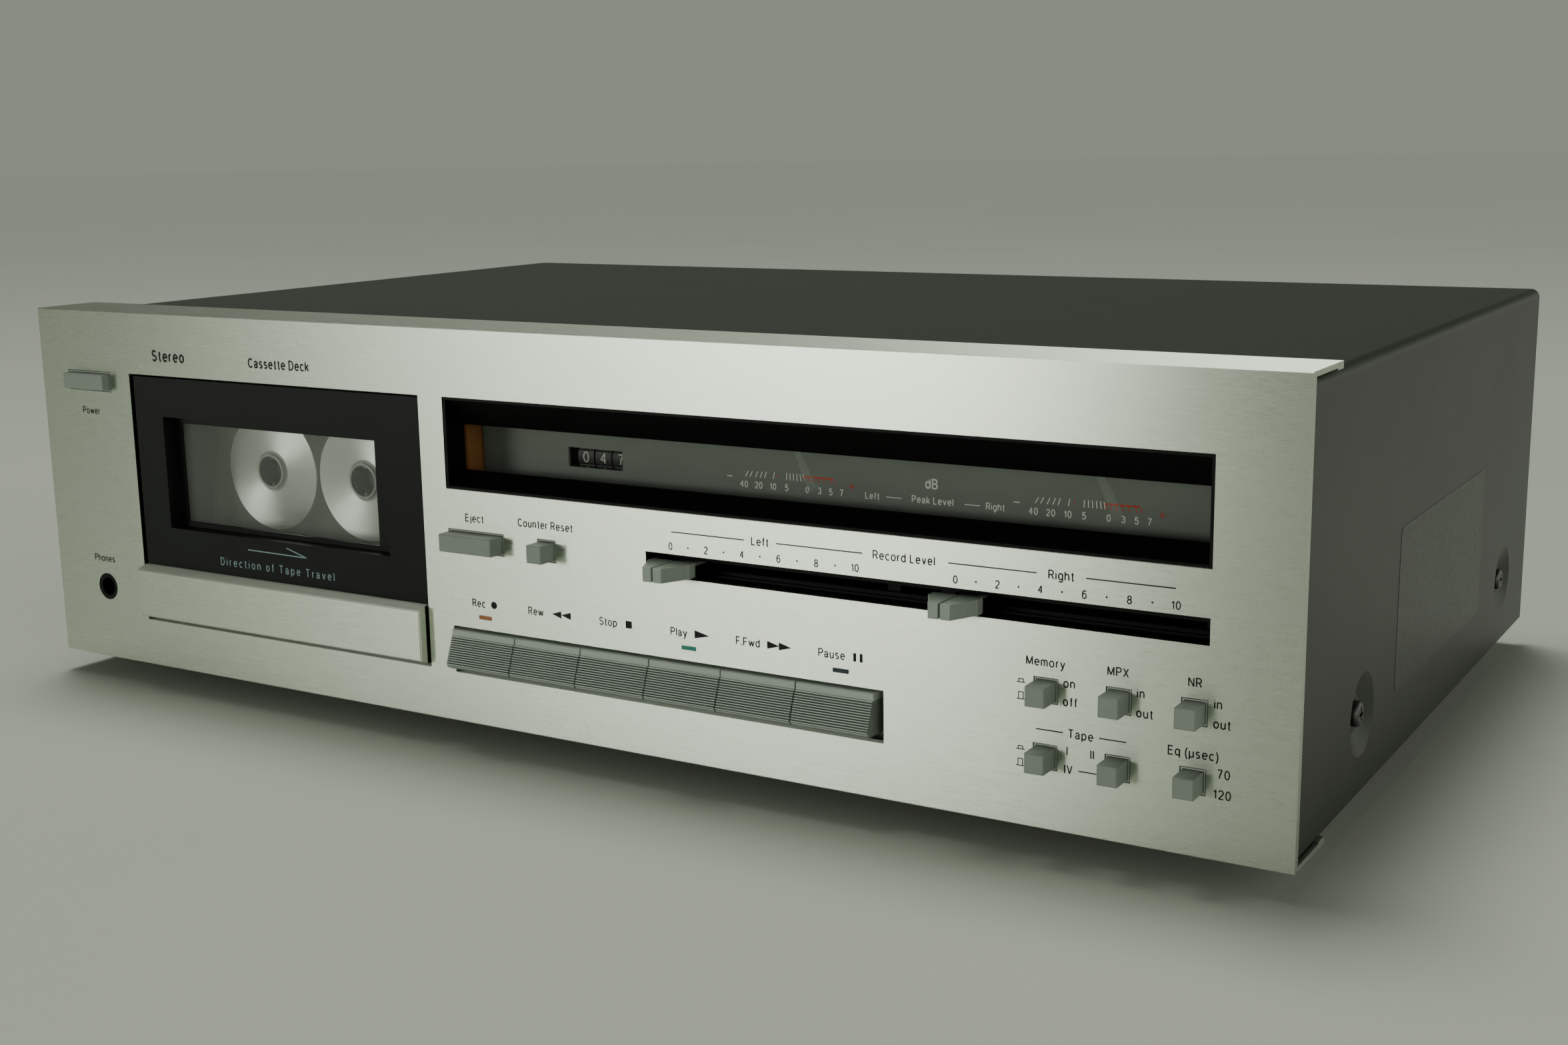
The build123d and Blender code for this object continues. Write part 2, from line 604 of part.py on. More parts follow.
def cassette_holder():
    """Steel pocket behind the door that carries the cassette and turns on the hinge pins."""
    left, right = TAPE_X - 58.1, TAPE_X + 58.1
    inner = SHELL_W / 2 + 0.4
    holder = block(left, right, 8.6, 9.6, 26.0, 99.0)
    holder -= through((SIGHT[0] - 3, SIGHT[1] + 3, SIGHT[2] - 3, SIGHT[3] + 3), 8, 11)
    for side in (-1, 1):
        wall = TAPE_X + side * (inner + 0.7)
        holder += block(wall - 0.7, wall + 0.7, 9.0, 31.2, 31.8, 98.0)
        low, high = sorted((TAPE_X + side * (inner + 0.5), TAPE_X + side * (inner - 8.0)))
        holder += block(low, high, 17.6, 30.6, 31.8, 33.2)
        low, high = sorted((TAPE_X + side * (inner + 0.5), TAPE_X + side * (inner - 5.0)))
        holder += block(low, high, 28.9, 29.9, 62.0, 96.0)
        holder += block(low, high, 17.9, 18.9, 62.0, 96.0)
    lug = [(4.4, 14.5), (4.4, 20.0), (8.6, 26.5), (8.6, 36.0), (9.6, 36.0), (9.6, 24.0), (7.0, 14.5)]
    for x0 in (-175.5, -59.0):
        arm = prism_x(lug, x0, x0 + 3.5) + rod_x(HINGE[0], HINGE[1], 2.1, x0, x0 + 3.5)
        holder += arm
    for x0 in (-175.5, -59.0):
        holder -= rod_x(HINGE[0], HINGE[1], 1.26, x0 - 1, x0 + 4.5)
    return holder


def cassette_shell():
    """Clear cassette shell: hollow body, thicker foot, hub holes and open bottom windows."""
    x0, x1 = TAPE_X - SHELL_W / 2, TAPE_X + SHELL_W / 2
    y0, y1 = SHELL_Y
    top = TAPE_Z0 + SHELL_H
    shell = block(x0, x1, y0, y1, TAPE_Z0, top)
    shell = fillet(shell.edges().filter_by(Axis.Y), 2.0)
    foot_outline = [(TAPE_X - 36, TAPE_Z0), (TAPE_X + 36, TAPE_Z0),
                    (TAPE_X + 33, TAPE_Z0 + 13), (TAPE_X - 33, TAPE_Z0 + 13)]
    shell += prism_y(foot_outline, y0 - 1.65, y1 + 1.65)
    wall = SHELL_WALL
    shell -= block(x0 + wall, x1 - wall, y0 + wall, y1 - wall, TAPE_Z0 + wall, top - wall)
    shell -= block(TAPE_X - 13, TAPE_X + 13, y0 + wall, y1 + 3, TAPE_Z0 - 1, TAPE_Z0 + 13)
    for side in (-1, 1):
        middle = TAPE_X + side * CAPSTAN_DX
        shell -= block(middle - 6.8, middle + 6.8, y0 + wall, y1 + 3, TAPE_Z0 - 1, TAPE_Z0 + 13.5)
        shell -= rod_y(TAPE_X + side * HUB_DX, HUB_Z, 6.3, y0 - 1, y1 + 1)
        for z in (TAPE_Z0 + 4.5, top - 4.5):
            shell -= rod_y(TAPE_X + side * (SHELL_W / 2 - 4.5), z, 1.3, y0 - 1, y0 + 0.6)
    return shell


def reel(side):
    """Tape reel: two thin flanges on a hub with six driving teeth."""
    x = TAPE_X + SIDES[side] * HUB_DX
    y0, y1 = SHELL_Y
    body = rod_y(x, HUB_Z, 11.0, y0 + 2.0, y1 - 2.0)
    body += rod_y(x, HUB_Z, REEL_R, y0 + 1.6, y0 + 2.3)
    body += rod_y(x, HUB_Z, REEL_R, y1 - 2.3, y1 - 1.6)
    body += rod_y(x, HUB_Z, 5.9, y0 + 0.4, y1 - 0.4)
    body -= rod_y(x, HUB_Z, HUB_BORE_R, y0 - 1, y1 + 1)
    for i in range(6):
        tooth = block(4.1, HUB_BORE_R + 0.3, y0 + 1.5, y1 - 1.5, -0.5, 0.5)
        body += Pos(x, 0, HUB_Z) * Rot(0, 30 + 60 * i, 0) * tooth
    return body


# ------------------------------------------------------------------ tape transport
def transport_plate():
    """Steel deck plate with shaft bores, guide studs, rear bridge and the motor's bracket."""
    y0, y1 = TRANSPORT_Y
    plate = block(-178.0, -54.0, y0, y1, 8.0, 112.0)
    plate += block(-178.0, -54.0, y0, 62.0, PAN_TOP + 0.1, 8.5) - block(-170, -60, 39, 61, 0, 20)
    for side, sign in SIDES.items():
        x = TAPE_X + sign * CAPSTAN_DX
        plate += rod_y(x, CAPSTAN_Z, 4.0, 34.2, 48.0)
        plate -= rod_y(x, CAPSTAN_Z, CAPSTAN_R + 0.05, 30, 70)
        plate -= rod_y(TAPE_X + sign * HUB_DX, HUB_Z, 1.56, 30, 50)
        plate += rod_y(TAPE_X + sign * 29.0, 31.0, 1.0, 31.0, 37.0)
        plate += rod_y(TAPE_X + sign * 29.0, 31.0, 2.2, 30.7, 31.2)
    bridge = block(-163.0, -69.0, 66.0, 67.5, 24.0, 62.0)
    for x in (-160.0, -70.5):
        for z in (28.0, 58.0):
            plate += rod_y(x, z, 2.5, 37.0, 66.5)
    for sign in SIDES.values():
        bridge -= rod_y(TAPE_X + sign * CAPSTAN_DX, CAPSTAN_Z, 1.5, 60, 70)
    plate += bridge
    bracket = block(-140.0, -92.0, 63.0, 64.2, 72.0, 108.0)
    bracket -= rod_y(TAPE_X, MOTOR_Z, 3.2, 60, 70)
    for x in (-137.0, -95.0):
        plate += rod_y(x, 105.0, 2.5, 37.0, 63.5)
    return plate + bracket


def transport_motors():
    """Capstan motor behind its bracket and a flat reel motor on the deck plate."""
    capstan = rod_y(TAPE_X, MOTOR_Z, 17.0, 64.2, 94.0)
    capstan += rod_y(TAPE_X, MOTOR_Z, 5.5, 93.0, 96.0)
    capstan -= rod_y(TAPE_X, MOTOR_Z, 1.06, 60.0, 80.0)
    reel_motor = rod_y(TAPE_X, HUB_Z, 10.5, TRANSPORT_Y[1], 48.5)
    return [capstan, reel_motor]


def flywheel(side):
    """Capstan shaft with its heavy flywheel."""
    x = TAPE_X + SIDES[side] * CAPSTAN_DX
    y0, y1 = FLYWHEEL_Y
    wheel = rod_y(x, CAPSTAN_Z, FLYWHEEL_R[side], y0, y1)
    wheel -= rod_y(x, CAPSTAN_Z, FLYWHEEL_R[side] - 4.0, y1 - 4.0, y1 + 1)
    wheel += rod_y(x, CAPSTAN_Z, 5.0, y0 + 1, y1 + 1.5)
    return wheel + rod_y(x, CAPSTAN_Z, CAPSTAN_R, 22.5, 68.0)


def motor_pulley():
    pulley = rod_y(TAPE_X, MOTOR_Z, PULLEY_R, BELT_Y[0] - 1.0, BELT_Y[1] + 1.0)
    pulley += rod_y(TAPE_X, MOTOR_Z, PULLEY_R + 2, BELT_Y[0] - 1.6, BELT_Y[0] - 0.6)
    pulley += rod_y(TAPE_X, MOTOR_Z, PULLEY_R + 2, BELT_Y[1] + 0.6, BELT_Y[1] + 1.6)
    return pulley + rod_y(TAPE_X, MOTOR_Z, 1.0, BELT_Y[0] - 1.6, 78.0)


def belt_outline(grow):
    """Outer tangent outline round both flywheels and the motor pulley."""
    circles = [(TAPE_X + SIDES[s] * CAPSTAN_DX, CAPSTAN_Z, FLYWHEEL_R[s]) for s in SIDES]
    circles.append((TAPE_X, MOTOR_Z, PULLEY_R))
    edges = Sketch()
    for x, z, radius in circles:
        edges += Pos(x, z) * Circle(radius + grow)
    return make_hull(edges.edges())


def capstan_belt():
    clearance, thickness = 0.25, 0.7
    face = belt_outline(clearance + thickness) - belt_outline(clearance)
    placed = Plane.XZ.offset(-BELT_Y[0]) * face
    return extrude(placed, BELT_Y[1] - BELT_Y[0], dir=(0, 1, 0))


def spindle(side):
    """Reel table and its finned spindle on a shaft through the deck plate."""
    x = TAPE_X + SIDES[side] * HUB_DX
    table = rod_y(x, HUB_Z, 12.0, 31.6, 34.6)
    table += rod_y(x, HUB_Z, 2.1, 25.2, 32.0)
    for i in range(3):
        fin = block(0, 2.6, 26.2, 32.0, -0.4, 0.4)
        table += Pos(x, 0, HUB_Z) * Rot(0, 120 * i, 0) * fin
    table += rod_y(x, HUB_Z, 1.5, 34.0, 47.0)
    return table + rod_y(x, HUB_Z, 4.5, 42.0, 46.0)


def head_bridge():
    """Sliding plate with the record/play head, the erase head and the rollers' pins."""
    plate = block(TAPE_X - 34, TAPE_X + 34, 31.5, 33.0, 14.0, 34.0)
    for sign in SIDES.values():
        x = TAPE_X + sign * 29.0
        plate -= block(x - 1.2, x + 1.2, 30, 35, 20.6, 32.3)
        x = TAPE_X + sign * CAPSTAN_DX
        plate -= block(x - 3, x + 3, 30, 35, 31.5, 35)
        plate += rod_y(x, ROLLER_Z, 1.0, 21.8, 32.0)
    head = block(TAPE_X - 6, TAPE_X + 6, 21.6, 32.0, 18.0, 30.0)
    crown = rod_y(TAPE_X, 26.0, 6.0, 21.6, 30.0)
    erase = block(TAPE_X - 12.4, TAPE_X - 8.0, 22.5, 32.0, 20.0, 29.0)
    plate += head + crown + erase
    return plate


def pinch_roller(side):
    x = TAPE_X + SIDES[side] * CAPSTAN_DX
    roller = rod_y(x, ROLLER_Z, ROLLER_R, 22.2, 30.2)
    return roller - rod_y(x, ROLLER_Z, 1.06, 20, 33)


# ------------------------------------------------------------------ electronics
def phones_jack():
    """Panel jack: black collar in the panel and a body behind it, open for a 6.35 mm plug."""
    x, z = PHONES
    jack = rod_y(x, z, 4.6, 0.1, 6.0)
    jack += rod_y(x, z, 7.5, PANEL_T + 0.1, 4.5)
    jack += block(x - 8, x + 8, 4.0, 34.0, z - 8, z + 8)
    return jack - rod_y(x, z, PHONES_BORE_R, -1, 32.0)


def main_board():
    """Circuit board on its rails, with capacitors, coils, a regulator and integrated circuits."""
    board = block(-20.0, 200.0, 80.0, 258.0, 16.1, 17.7)
    top = 17.6
    for i in range(8):
        board += rod_z(-5.0 + i * 26.0, 110.0 + (i % 2) * 14.0, 5.0, top, 34.0)
    for i in range(6):
        board += rod_z(5.0 + i * 18.0, 210.0, 3.2, top, 28.0)
    for x, y in ((30, 160), (75, 160), (120, 160), (165, 160), (50, 185), (140, 185)):
        board += block(x - 10, x + 10, y - 3.5, y + 3.5, top, 22.0)
    for x, y in ((0.0, 240.0), (30.0, 240.0)):
        board += rod_z(x, y, 11.0, top, 52.0)
    return board + block(120.0, 180.0, 235.0, 238.0, top, 55.0)


def power_transformer():
    """Laminated core with its winding on the pan at the rear left."""
    x, y = -165.0, 215.0
    core = block(x - 28, x + 28, y - 18, y + 18, PAN_TOP + 0.1, 50.0)
    windows = block(x - 18, x - 8, y - 20, y + 20, 14, 40) + block(x + 8, x + 18, y - 20, y + 20, 14, 40)
    core -= windows
    coil = block(x - 17, x + 17, y - 27, y + 27, 15, 39) - block(x - 8.2, x + 8.2, y - 18.2, y + 18.2, 10, 45)
    core -= block(x - 17.5, x - 8, y - 18.5, y + 18.5, 14.5, 39.5)
    return core + coil


# ------------------------------------------------------------------ assembly
def all_parts():
    """Every node's name with its solid or its group of separate solids."""
    parts = {
        "front_panel": front_panel(),
        "top_cover": top_cover(),
        "base_pan": base_pan(),
        "rear_panel": rear_panel(),
        "feet": feet(),
        "case_screws": case_screws(),
        "rear_connectors": rear_connectors(),
        "button_bezels": button_bezels(),
        "push_switches": push_switches(),
        "key_frame": key_frame(),
        "indicators": indicators(),
        "slide_pots": slide_pots(),
        "meter_bezel": meter_bezel(),
        "meter_lens": meter_lens(),
        "scale_plate": scale_plate(),
        "amber_light_guide": amber_light_guide(),
        "meter_housing": meter_housing(),
        "door_panel": door_panel(),
        "door_trim_bar": door_trim_bar(),
        "door_lens": door_lens(),
        "cassette_holder": cassette_holder(),
        "cassette_shell": cassette_shell(),
        "transport_plate": transport_plate(),
        "transport_motors": transport_motors(),
        "motor_pulley": motor_pulley(),
        "capstan_belt": capstan_belt(),
        "head_bridge": head_bridge(),
        "phones_jack": phones_jack(),
        "main_board": main_board(),
        "power_transformer": power_transformer(),
    }
    for side in SIDES:
        parts[side + "_reel"] = reel(side)
        parts[side + "_spindle"] = spindle(side)
        parts[side + "_capstan"] = flywheel(side)
        parts[side + "_pinch_roller"] = pinch_roller(side)
    for i, name in enumerate(("hundreds_wheel", "tens_wheel", "units_wheel")):
        parts[name] = counter_wheel(i)
    for i, name in enumerate(("left", "right")):
        parts[name + "_needle"] = needle(i)
        parts[name + "_slider_knob"] = slider_knob(i)
    for i, name in enumerate(KEY_NAMES):
        parts[name] = transport_key(i)
    for row, z in zip(BUTTON_NAMES, BUTTON_Z):
        for name, x in zip(row, BUTTON_X):
            parts[name] = push_button(x, z, CAP, BUTTON_PROUD)
    for name, opening, width, proud in wide_controls():
        parts[name] = push_button(*centre_of(opening), width, proud)
    return parts


def main():
    os.makedirs("parts", exist_ok=True)
    parts = all_parts()
    for name, shape in parts.items():
        pieces = shape if isinstance(shape, list) else [shape]
        placed = [TO_ROW * piece for piece in pieces]
        export_step(Compound(children=placed) if len(placed) > 1 else placed[0], f"parts/{name}.step")
    print(len(parts), "parts written")


main()
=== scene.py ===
"""Looks for the cassette deck: materials, printed lettering, stickers, floor, light and camera."""

import math

import bmesh
import bpy
from mathutils import Matrix, Vector


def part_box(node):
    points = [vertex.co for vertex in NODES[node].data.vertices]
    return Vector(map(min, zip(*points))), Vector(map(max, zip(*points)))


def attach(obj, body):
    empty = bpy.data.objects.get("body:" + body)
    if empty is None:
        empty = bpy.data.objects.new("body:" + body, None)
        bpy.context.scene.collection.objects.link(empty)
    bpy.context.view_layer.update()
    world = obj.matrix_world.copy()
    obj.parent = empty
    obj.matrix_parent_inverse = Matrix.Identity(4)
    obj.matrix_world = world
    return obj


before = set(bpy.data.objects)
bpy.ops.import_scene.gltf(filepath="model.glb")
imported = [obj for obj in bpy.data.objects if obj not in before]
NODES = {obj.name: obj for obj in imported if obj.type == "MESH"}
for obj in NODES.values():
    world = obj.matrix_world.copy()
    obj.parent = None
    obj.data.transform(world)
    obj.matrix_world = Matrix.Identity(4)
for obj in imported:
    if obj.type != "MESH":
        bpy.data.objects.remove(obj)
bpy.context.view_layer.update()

# ------------------------------------------------------------------ the panel's own millimetres
MM = 0.001
PANEL_LOW, PANEL_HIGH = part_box("front_panel")
ORIGIN = Vector(((PANEL_LOW.x + PANEL_HIGH.x) / 2, PANEL_LOW.y, PANEL_LOW.z))
PRINT_T = 0.04


def spot(x, y, z):
    """A point given in millimetres from the middle of the front panel's bottom edge."""
    return ORIGIN + Vector((x, y, z)) * MM


# ------------------------------------------------------------------ shader building
RANGE_ENDS = ("From Min", "From Max", "To Min", "To Max")


class Shader:
    """A node material on one Principled shader, built up call by call."""

    def __init__(self, name, **inputs):
        self.material = bpy.data.materials.new(name)
        self.material.use_nodes = True
        self.tree = self.material.node_tree
        self.tree.nodes.clear()
        self.output = self.add("ShaderNodeOutputMaterial")
        self.surface = self.add("ShaderNodeBsdfPrincipled")
        self.link(self.surface.outputs["BSDF"], self.output.inputs["Surface"])
        for key, value in inputs.items():
            self.surface.inputs[key.replace("_", " ")].default_value = value

    def add(self, kind, **settings):
        node = self.tree.nodes.new(kind)
        for key, value in settings.items():
            setattr(node, key, value)
        return node

    def link(self, source, target):
        self.tree.links.new(source, target)

    def drive(self, name, socket):
        self.link(socket, self.surface.inputs[name])

    def place(self, scale=(1, 1, 1), origin=(0, 0, 0)):
        """Object coordinates measured from origin, in metres, times scale."""
        source = self.add("ShaderNodeTexCoord").outputs["Object"]
        mapping = self.add("ShaderNodeMapping", vector_type="POINT")
        mapping.inputs["Scale"].default_value = scale
        mapping.inputs["Location"].default_value = [-o * s for o, s in zip(origin, scale)]
        self.link(source, mapping.inputs["Vector"])
        return mapping.outputs["Vector"]

    def noise(self, vector, scale=1.0, detail=2.0, roughness=0.5):
        node = self.add("ShaderNodeTexNoise")
        node.inputs["Scale"].default_value = scale
        node.inputs["Detail"].default_value = detail
        node.inputs["Roughness"].default_value = roughness
        self.link(vector, node.inputs["Vector"])
        return node.outputs["Fac"]

    def span(self, value, low, high, from_low=0.25, from_high=0.75):
        """Maps a value onto a range, clamped."""
        node = self.add("ShaderNodeMapRange")
        self.link(value, node.inputs["Value"])
        for key, number in zip(RANGE_ENDS, (from_low, from_high, low, high)):
            node.inputs[key].default_value = number
        return node.outputs["Result"]

    def math(self, operation, first, second=0.0, third=0.0):
        node = self.add("ShaderNodeMath", operation=operation)
        for socket, value in zip(node.inputs, (first, second, third)):
            if isinstance(value, (int, float)):
                socket.default_value = value
            else:
                self.link(value, socket)
        return node.outputs["Value"]

    def mix(self, factor, first, second):
        """A colour between two colours or sockets."""
        node = self.add("ShaderNodeMix", data_type="RGBA")
        for index, value in ((0, factor), (6, first), (7, second)):
            socket = node.inputs[index]
            if isinstance(value, bpy.types.NodeSocket):
                self.link(value, socket)
            elif isinstance(value, (int, float)):
                socket.default_value = value
            else:
                socket.default_value = (*value, 1.0)
        return node.outputs[2]

    def split(self, vector):
        node = self.add("ShaderNodeSeparateXYZ")
        self.link(vector, node.inputs["Vector"])
        return node.outputs["X"], node.outputs["Y"], node.outputs["Z"]

    def facing(self):
        """The surface direction's x, y and z, in object coordinates."""
        return self.split(self.add("ShaderNodeTexCoord").outputs["Normal"])

    def radius(self, x, z):
        """Distance from an axis along y, from the offsets x and z."""
        squares = self.math("MULTIPLY", x, x), self.math("MULTIPLY", z, z)
        return self.math("SQRT", self.math("ADD", *squares))

    def bump(self, height, strength, distance):
        node = self.add("ShaderNodeBump")
        node.inputs["Strength"].default_value = strength
        node.inputs["Distance"].default_value = distance
        self.link(height, node.inputs["Height"])
        self.drive("Normal", node.outputs["Normal"])

    def let_through(self, share, tint=(1.0, 1.0, 1.0)):
        """Lays the surface over a clear tint; share is how much of the surface shows."""
        clear = self.add("ShaderNodeBsdfTransparent")
        clear.inputs["Color"].default_value = (*tint, 1.0)
        blend = self.add("ShaderNodeMixShader")
        self.link(share, blend.inputs["Fac"])
        self.link(clear.outputs["BSDF"], blend.inputs[1])
        self.link(self.surface.outputs["BSDF"], blend.inputs[2])
        self.link(blend.outputs["Shader"], self.output.inputs["Surface"])


def tone(colour, factor):
    """The colour made lighter or darker by a factor."""
    return tuple(min(1.0, c * factor) for c in colour)


SLOT_SILL_LOW = 40.0
SLOT_SILL_HIGH = 62.0
KEY_STRIP_LOW = 27.9
HUB_RIM = 0.0068
HUB_BORE = 0.0052
PLASTIC_GRAIN = 3200.0


def brushed_aluminium(name, colour):
    """Aluminium brushed along x, faintly marked by handling; the slider slot's sill is painted
    black as shade.
    """
    s = Shader(name, Metallic=1.0, Anisotropic=0.95)
    fine = s.noise(s.place((170.0, 900.0, 5600.0)), 1.0, 3.0, 0.6)
    medium = s.noise(s.place((60.0, 400.0, 2700.0)), 1.0, 2.0)
    smudge = s.noise(s.place((7.0, 9.0, 12.0)), 1.0, 3.0)
    streak = s.math("ADD", s.math("MULTIPLY", fine, 0.7), s.math("MULTIPLY", medium, 0.3))
    nx, ny, nz = s.facing()
    silver = s.mix(s.span(streak, 0.0, 1.0, 0.33, 0.67), tone(colour, 0.93), tone(colour, 1.06))
    _, _, z = s.split(s.place())
    # painted shade: faces looking up between the slot's sill heights are painted black
    below = s.math("LESS_THAN", z, spot(0, 0, SLOT_SILL_HIGH).z)
    above = s.math("GREATER_THAN", z, spot(0, 0, SLOT_SILL_LOW).z)
    sill_painted_shade = s.math("MULTIPLY", s.math("MULTIPLY", s.math("GREATER_THAN", nz, 0.5), below), above)
    s.drive("Base Color", s.mix(sill_painted_shade, silver, (0.012, 0.012, 0.012)))
    worn = s.math("ADD", s.span(streak, 0.245, 0.275, 0.3, 0.7), s.span(smudge, -0.01, 0.03))
    s.drive("Roughness", s.math("ADD", worn, s.math("MULTIPLY", s.math("ABSOLUTE", nz), 0.25)))
    across = s.add("ShaderNodeCombineXYZ")
    s.link(s.math("ABSOLUTE", nz), across.inputs["Y"])
    s.link(s.math("ADD", s.math("ABSOLUTE", ny), s.math("ABSOLUTE", nx)), across.inputs["Z"])
    s.drive("Tangent", across.outputs["Vector"])
    s.bump(streak, 0.045, 0.00003)
    return s.material


def textured_paint(name, colour, grain=2600.0):
    """Fine wrinkle-textured stoving paint on sheet steel."""
    s = Shader(name, Specular_IOR_Level=0.5)
    grit = s.noise(s.place(), grain, 2.0, 0.6)
    broad = s.noise(s.place(), 26.0, 3.0)
    spotty = s.mix(s.span(grit, 0.0, 1.0, 0.3, 0.7), tone(colour, 0.7), tone(colour, 1.35))
    s.drive("Base Color", s.mix(s.span(broad, 0.0, 0.2), spotty, tone(colour, 1.15)))
    s.drive("Roughness", s.math("ADD", s.span(grit, 0.34, 0.44), s.span(broad, -0.01, 0.02)))
    s.bump(grit, 0.45, 0.00010)
    return s.material


def moulded_plastic(name, colour, roughness, shine=0.45):
    """Injection-moulded plastic: spark-eroded grain, slight flow mottling."""
    s = Shader(name, Specular_IOR_Level=shine)
    grit = s.noise(s.place(), PLASTIC_GRAIN, 1.5, 0.5)
    flow = s.noise(s.place((1, 1, 2.2)), 60.0, 3.0)
    base = s.mix(s.span(flow, 0.0, 1.0), tone(colour, 0.92), tone(colour, 1.08))
    s.drive("Base Color", base)
    dull = s.span(grit, roughness - 0.05, roughness + 0.06)
    s.drive("Roughness", s.math("ADD", dull, s.span(flow, -0.02, 0.03)))
    s.bump(grit, 0.25, 0.00005)
    return s.material


def ribbed_plastic(name, colour):
    """Moulded keys: a plain strip above ribs whose front-facing crests carry a painted highlight
    and whose other faces carry painted shade.
    """
    s = Shader(name, Specular_IOR_Level=0.3)
    grit = s.noise(s.place(), PLASTIC_GRAIN, 1.5, 0.5)
    _, facing, _ = s.facing()
    _, _, z = s.split(s.place())
    # painted light: faces looking straight ahead get a pale painted highlight, all other rib faces
    # dark painted shade
    crest_painted_highlight = s.span(s.math("ABSOLUTE", facing), 0.0, 1.0, 0.85, 0.97)
    ribs_painted_light = s.mix(crest_painted_highlight, tone(colour, 0.38), tone(colour, 1.5))
    strip = s.math("GREATER_THAN", z, spot(0, 0, KEY_STRIP_LOW).z)
    tinted = s.mix(strip, ribs_painted_light, colour)
    s.drive("Base Color", s.mix(s.span(grit, 0.0, 0.2), tinted, colour))
    s.drive("Roughness", s.span(grit, 0.36, 0.5))
    s.bump(grit, 0.2, 0.00005)
    return s.material


def turned_metal(name, colour, roughness, metallic=1.0):
    """Machined or plated metal with fine marks in every direction."""
    s = Shader(name, Metallic=metallic)
    marks = s.noise(s.place(), 900.0, 4.0, 0.7)
    cloud = s.noise(s.place(), 45.0, 3.0)
    s.drive("Base Color", s.mix(s.span(cloud, 0.0, 1.0), tone(colour, 0.85), tone(colour, 1.1)))
    dull = s.span(marks, roughness - 0.07, roughness + 0.1)
    s.drive("Roughness", s.math("ADD", dull, s.span(cloud, -0.03, 0.06)))
    s.bump(marks, 0.12, 0.00004)
    return s.material


def pane(name, tint, mirror=0.04, haze=0.03, painted_reflection_tone=(0.02, 0.02, 0.02), shine=0.5):
    """A thin clear sheet: what is behind shows through its tint, and it mirrors by angle; its base
    colour, shown over the share mirror and more at grazing angles, is a painted reflection.
    """
    s = Shader(name, Base_Color=(*painted_reflection_tone, 1.0), Specular_IOR_Level=shine)
    dust = s.noise(s.place(), 140.0, 4.0, 0.7)
    s.drive("Roughness", s.span(dust, haze, haze + 0.05))
    angle = s.add("ShaderNodeLayerWeight")
    angle.inputs["Blend"].default_value = 0.5
    grazing = s.math("POWER", angle.outputs["Facing"], 5.0)
    share = s.math("ADD", s.math("MULTIPLY", grazing, 1.0 - mirror), mirror)
    s.let_through(s.math("ADD", share, s.span(dust, 0.0, 0.015)), tint)
    return s.material


def reel_disc(name, centre):
    """Metallised disc with circular grain round its own hub, and a translucent white hub whose bore
    is painted dark as shade.
    """
    s = Shader(name, Anisotropic=0.85, Anisotropic_Rotation=0.25)
    x, _, z = s.split(s.place(origin=centre))
    radius = s.radius(x, z)
    ring = s.add("ShaderNodeCombineXYZ")
    s.link(s.math("MULTIPLY", radius, 5200.0), ring.inputs["X"])
    grooves = s.noise(ring.outputs["Vector"], 1.0, 2.0)
    cloud = s.noise(s.place(), 90.0, 2.0)
    silver = s.mix(s.span(grooves, 0.0, 1.0, 0.35, 0.65), (0.62, 0.65, 0.62), (0.88, 0.90, 0.87))
    hub = s.span(radius, 1.0, 0.0, HUB_RIM, HUB_RIM + 0.0003)
    # painted shade: the faces inside the hub's bore are painted dark
    bore_painted_shade = s.span(radius, 1.0, 0.0, HUB_BORE, HUB_BORE + 0.0002)
    moulding = s.mix(bore_painted_shade, (0.32, 0.34, 0.30), (0.08, 0.085, 0.075))
    s.drive("Base Color", s.mix(hub, silver, moulding))
    s.drive("Metallic", s.span(hub, 0.86, 0.0, 0.0, 1.0))
    dull = s.span(grooves, 0.26, 0.4, 0.35, 0.65)
    s.drive("Roughness", s.math("ADD", dull, s.span(cloud, -0.02, 0.06)))
    tangent = s.add("ShaderNodeTangent", direction_type="RADIAL", axis="Y")
    s.drive("Tangent", tangent.outputs["Tangent"])
    s.bump(grooves, 0.12, 0.00003)
    return s.material


def circuit_board(name, board_top):
    """Brown phenolic board whose parts above it are blue, black and grey by place."""
    s = Shader(name)
    _, _, z = s.split(s.place())
    above = s.span(z, 0.0, 1.0, board_top, board_top + 0.0004)
    cells = s.add("ShaderNodeTexVoronoi")
    cells.inputs["Scale"].default_value = 38.0
    s.link(s.place((1, 1, 0.05)), cells.inputs["Vector"])
    tint, _, _ = s.split(cells.outputs["Color"])
    parts = s.mix(s.math("GREATER_THAN", tint, 0.55), (0.02, 0.03, 0.07), (0.025, 0.025, 0.025))
    trace = s.noise(s.place(), 190.0, 2.0)
    board = s.mix(s.math("GREATER_THAN", trace, 0.52), (0.30, 0.17, 0.06), (0.16, 0.20, 0.07))
    s.drive("Base Color", s.mix(above, board, parts))
    s.drive("Roughness", s.span(trace, 0.35, 0.6))
    s.bump(trace, 0.2, 0.0001)
    return s.material


def jacks(name, axes, radius, rear):
    """Black moulded plate; within radius of each jack's axis the finish is nickel."""
    s = Shader(name)
    x, y, z = s.split(s.place())
    mask = None
    for ax, az in axes:
        gap = s.radius(s.math("SUBTRACT", x, ax), s.math("SUBTRACT", z, az))
        inside = s.math("LESS_THAN", gap, radius)
        mask = inside if mask is None else s.math("MAXIMUM", mask, inside)
    mask = s.math("MULTIPLY", mask, s.math("GREATER_THAN", y, rear))
    marks = s.noise(s.place(), 1200.0, 3.0)
    s.drive("Base Color", s.mix(mask, (0.02, 0.02, 0.02), (0.62, 0.60, 0.55)))
    s.drive("Metallic", mask)
    s.drive("Roughness", s.span(marks, 0.3, 0.5))
    s.bump(marks, 0.1, 0.00004)
    return s.material


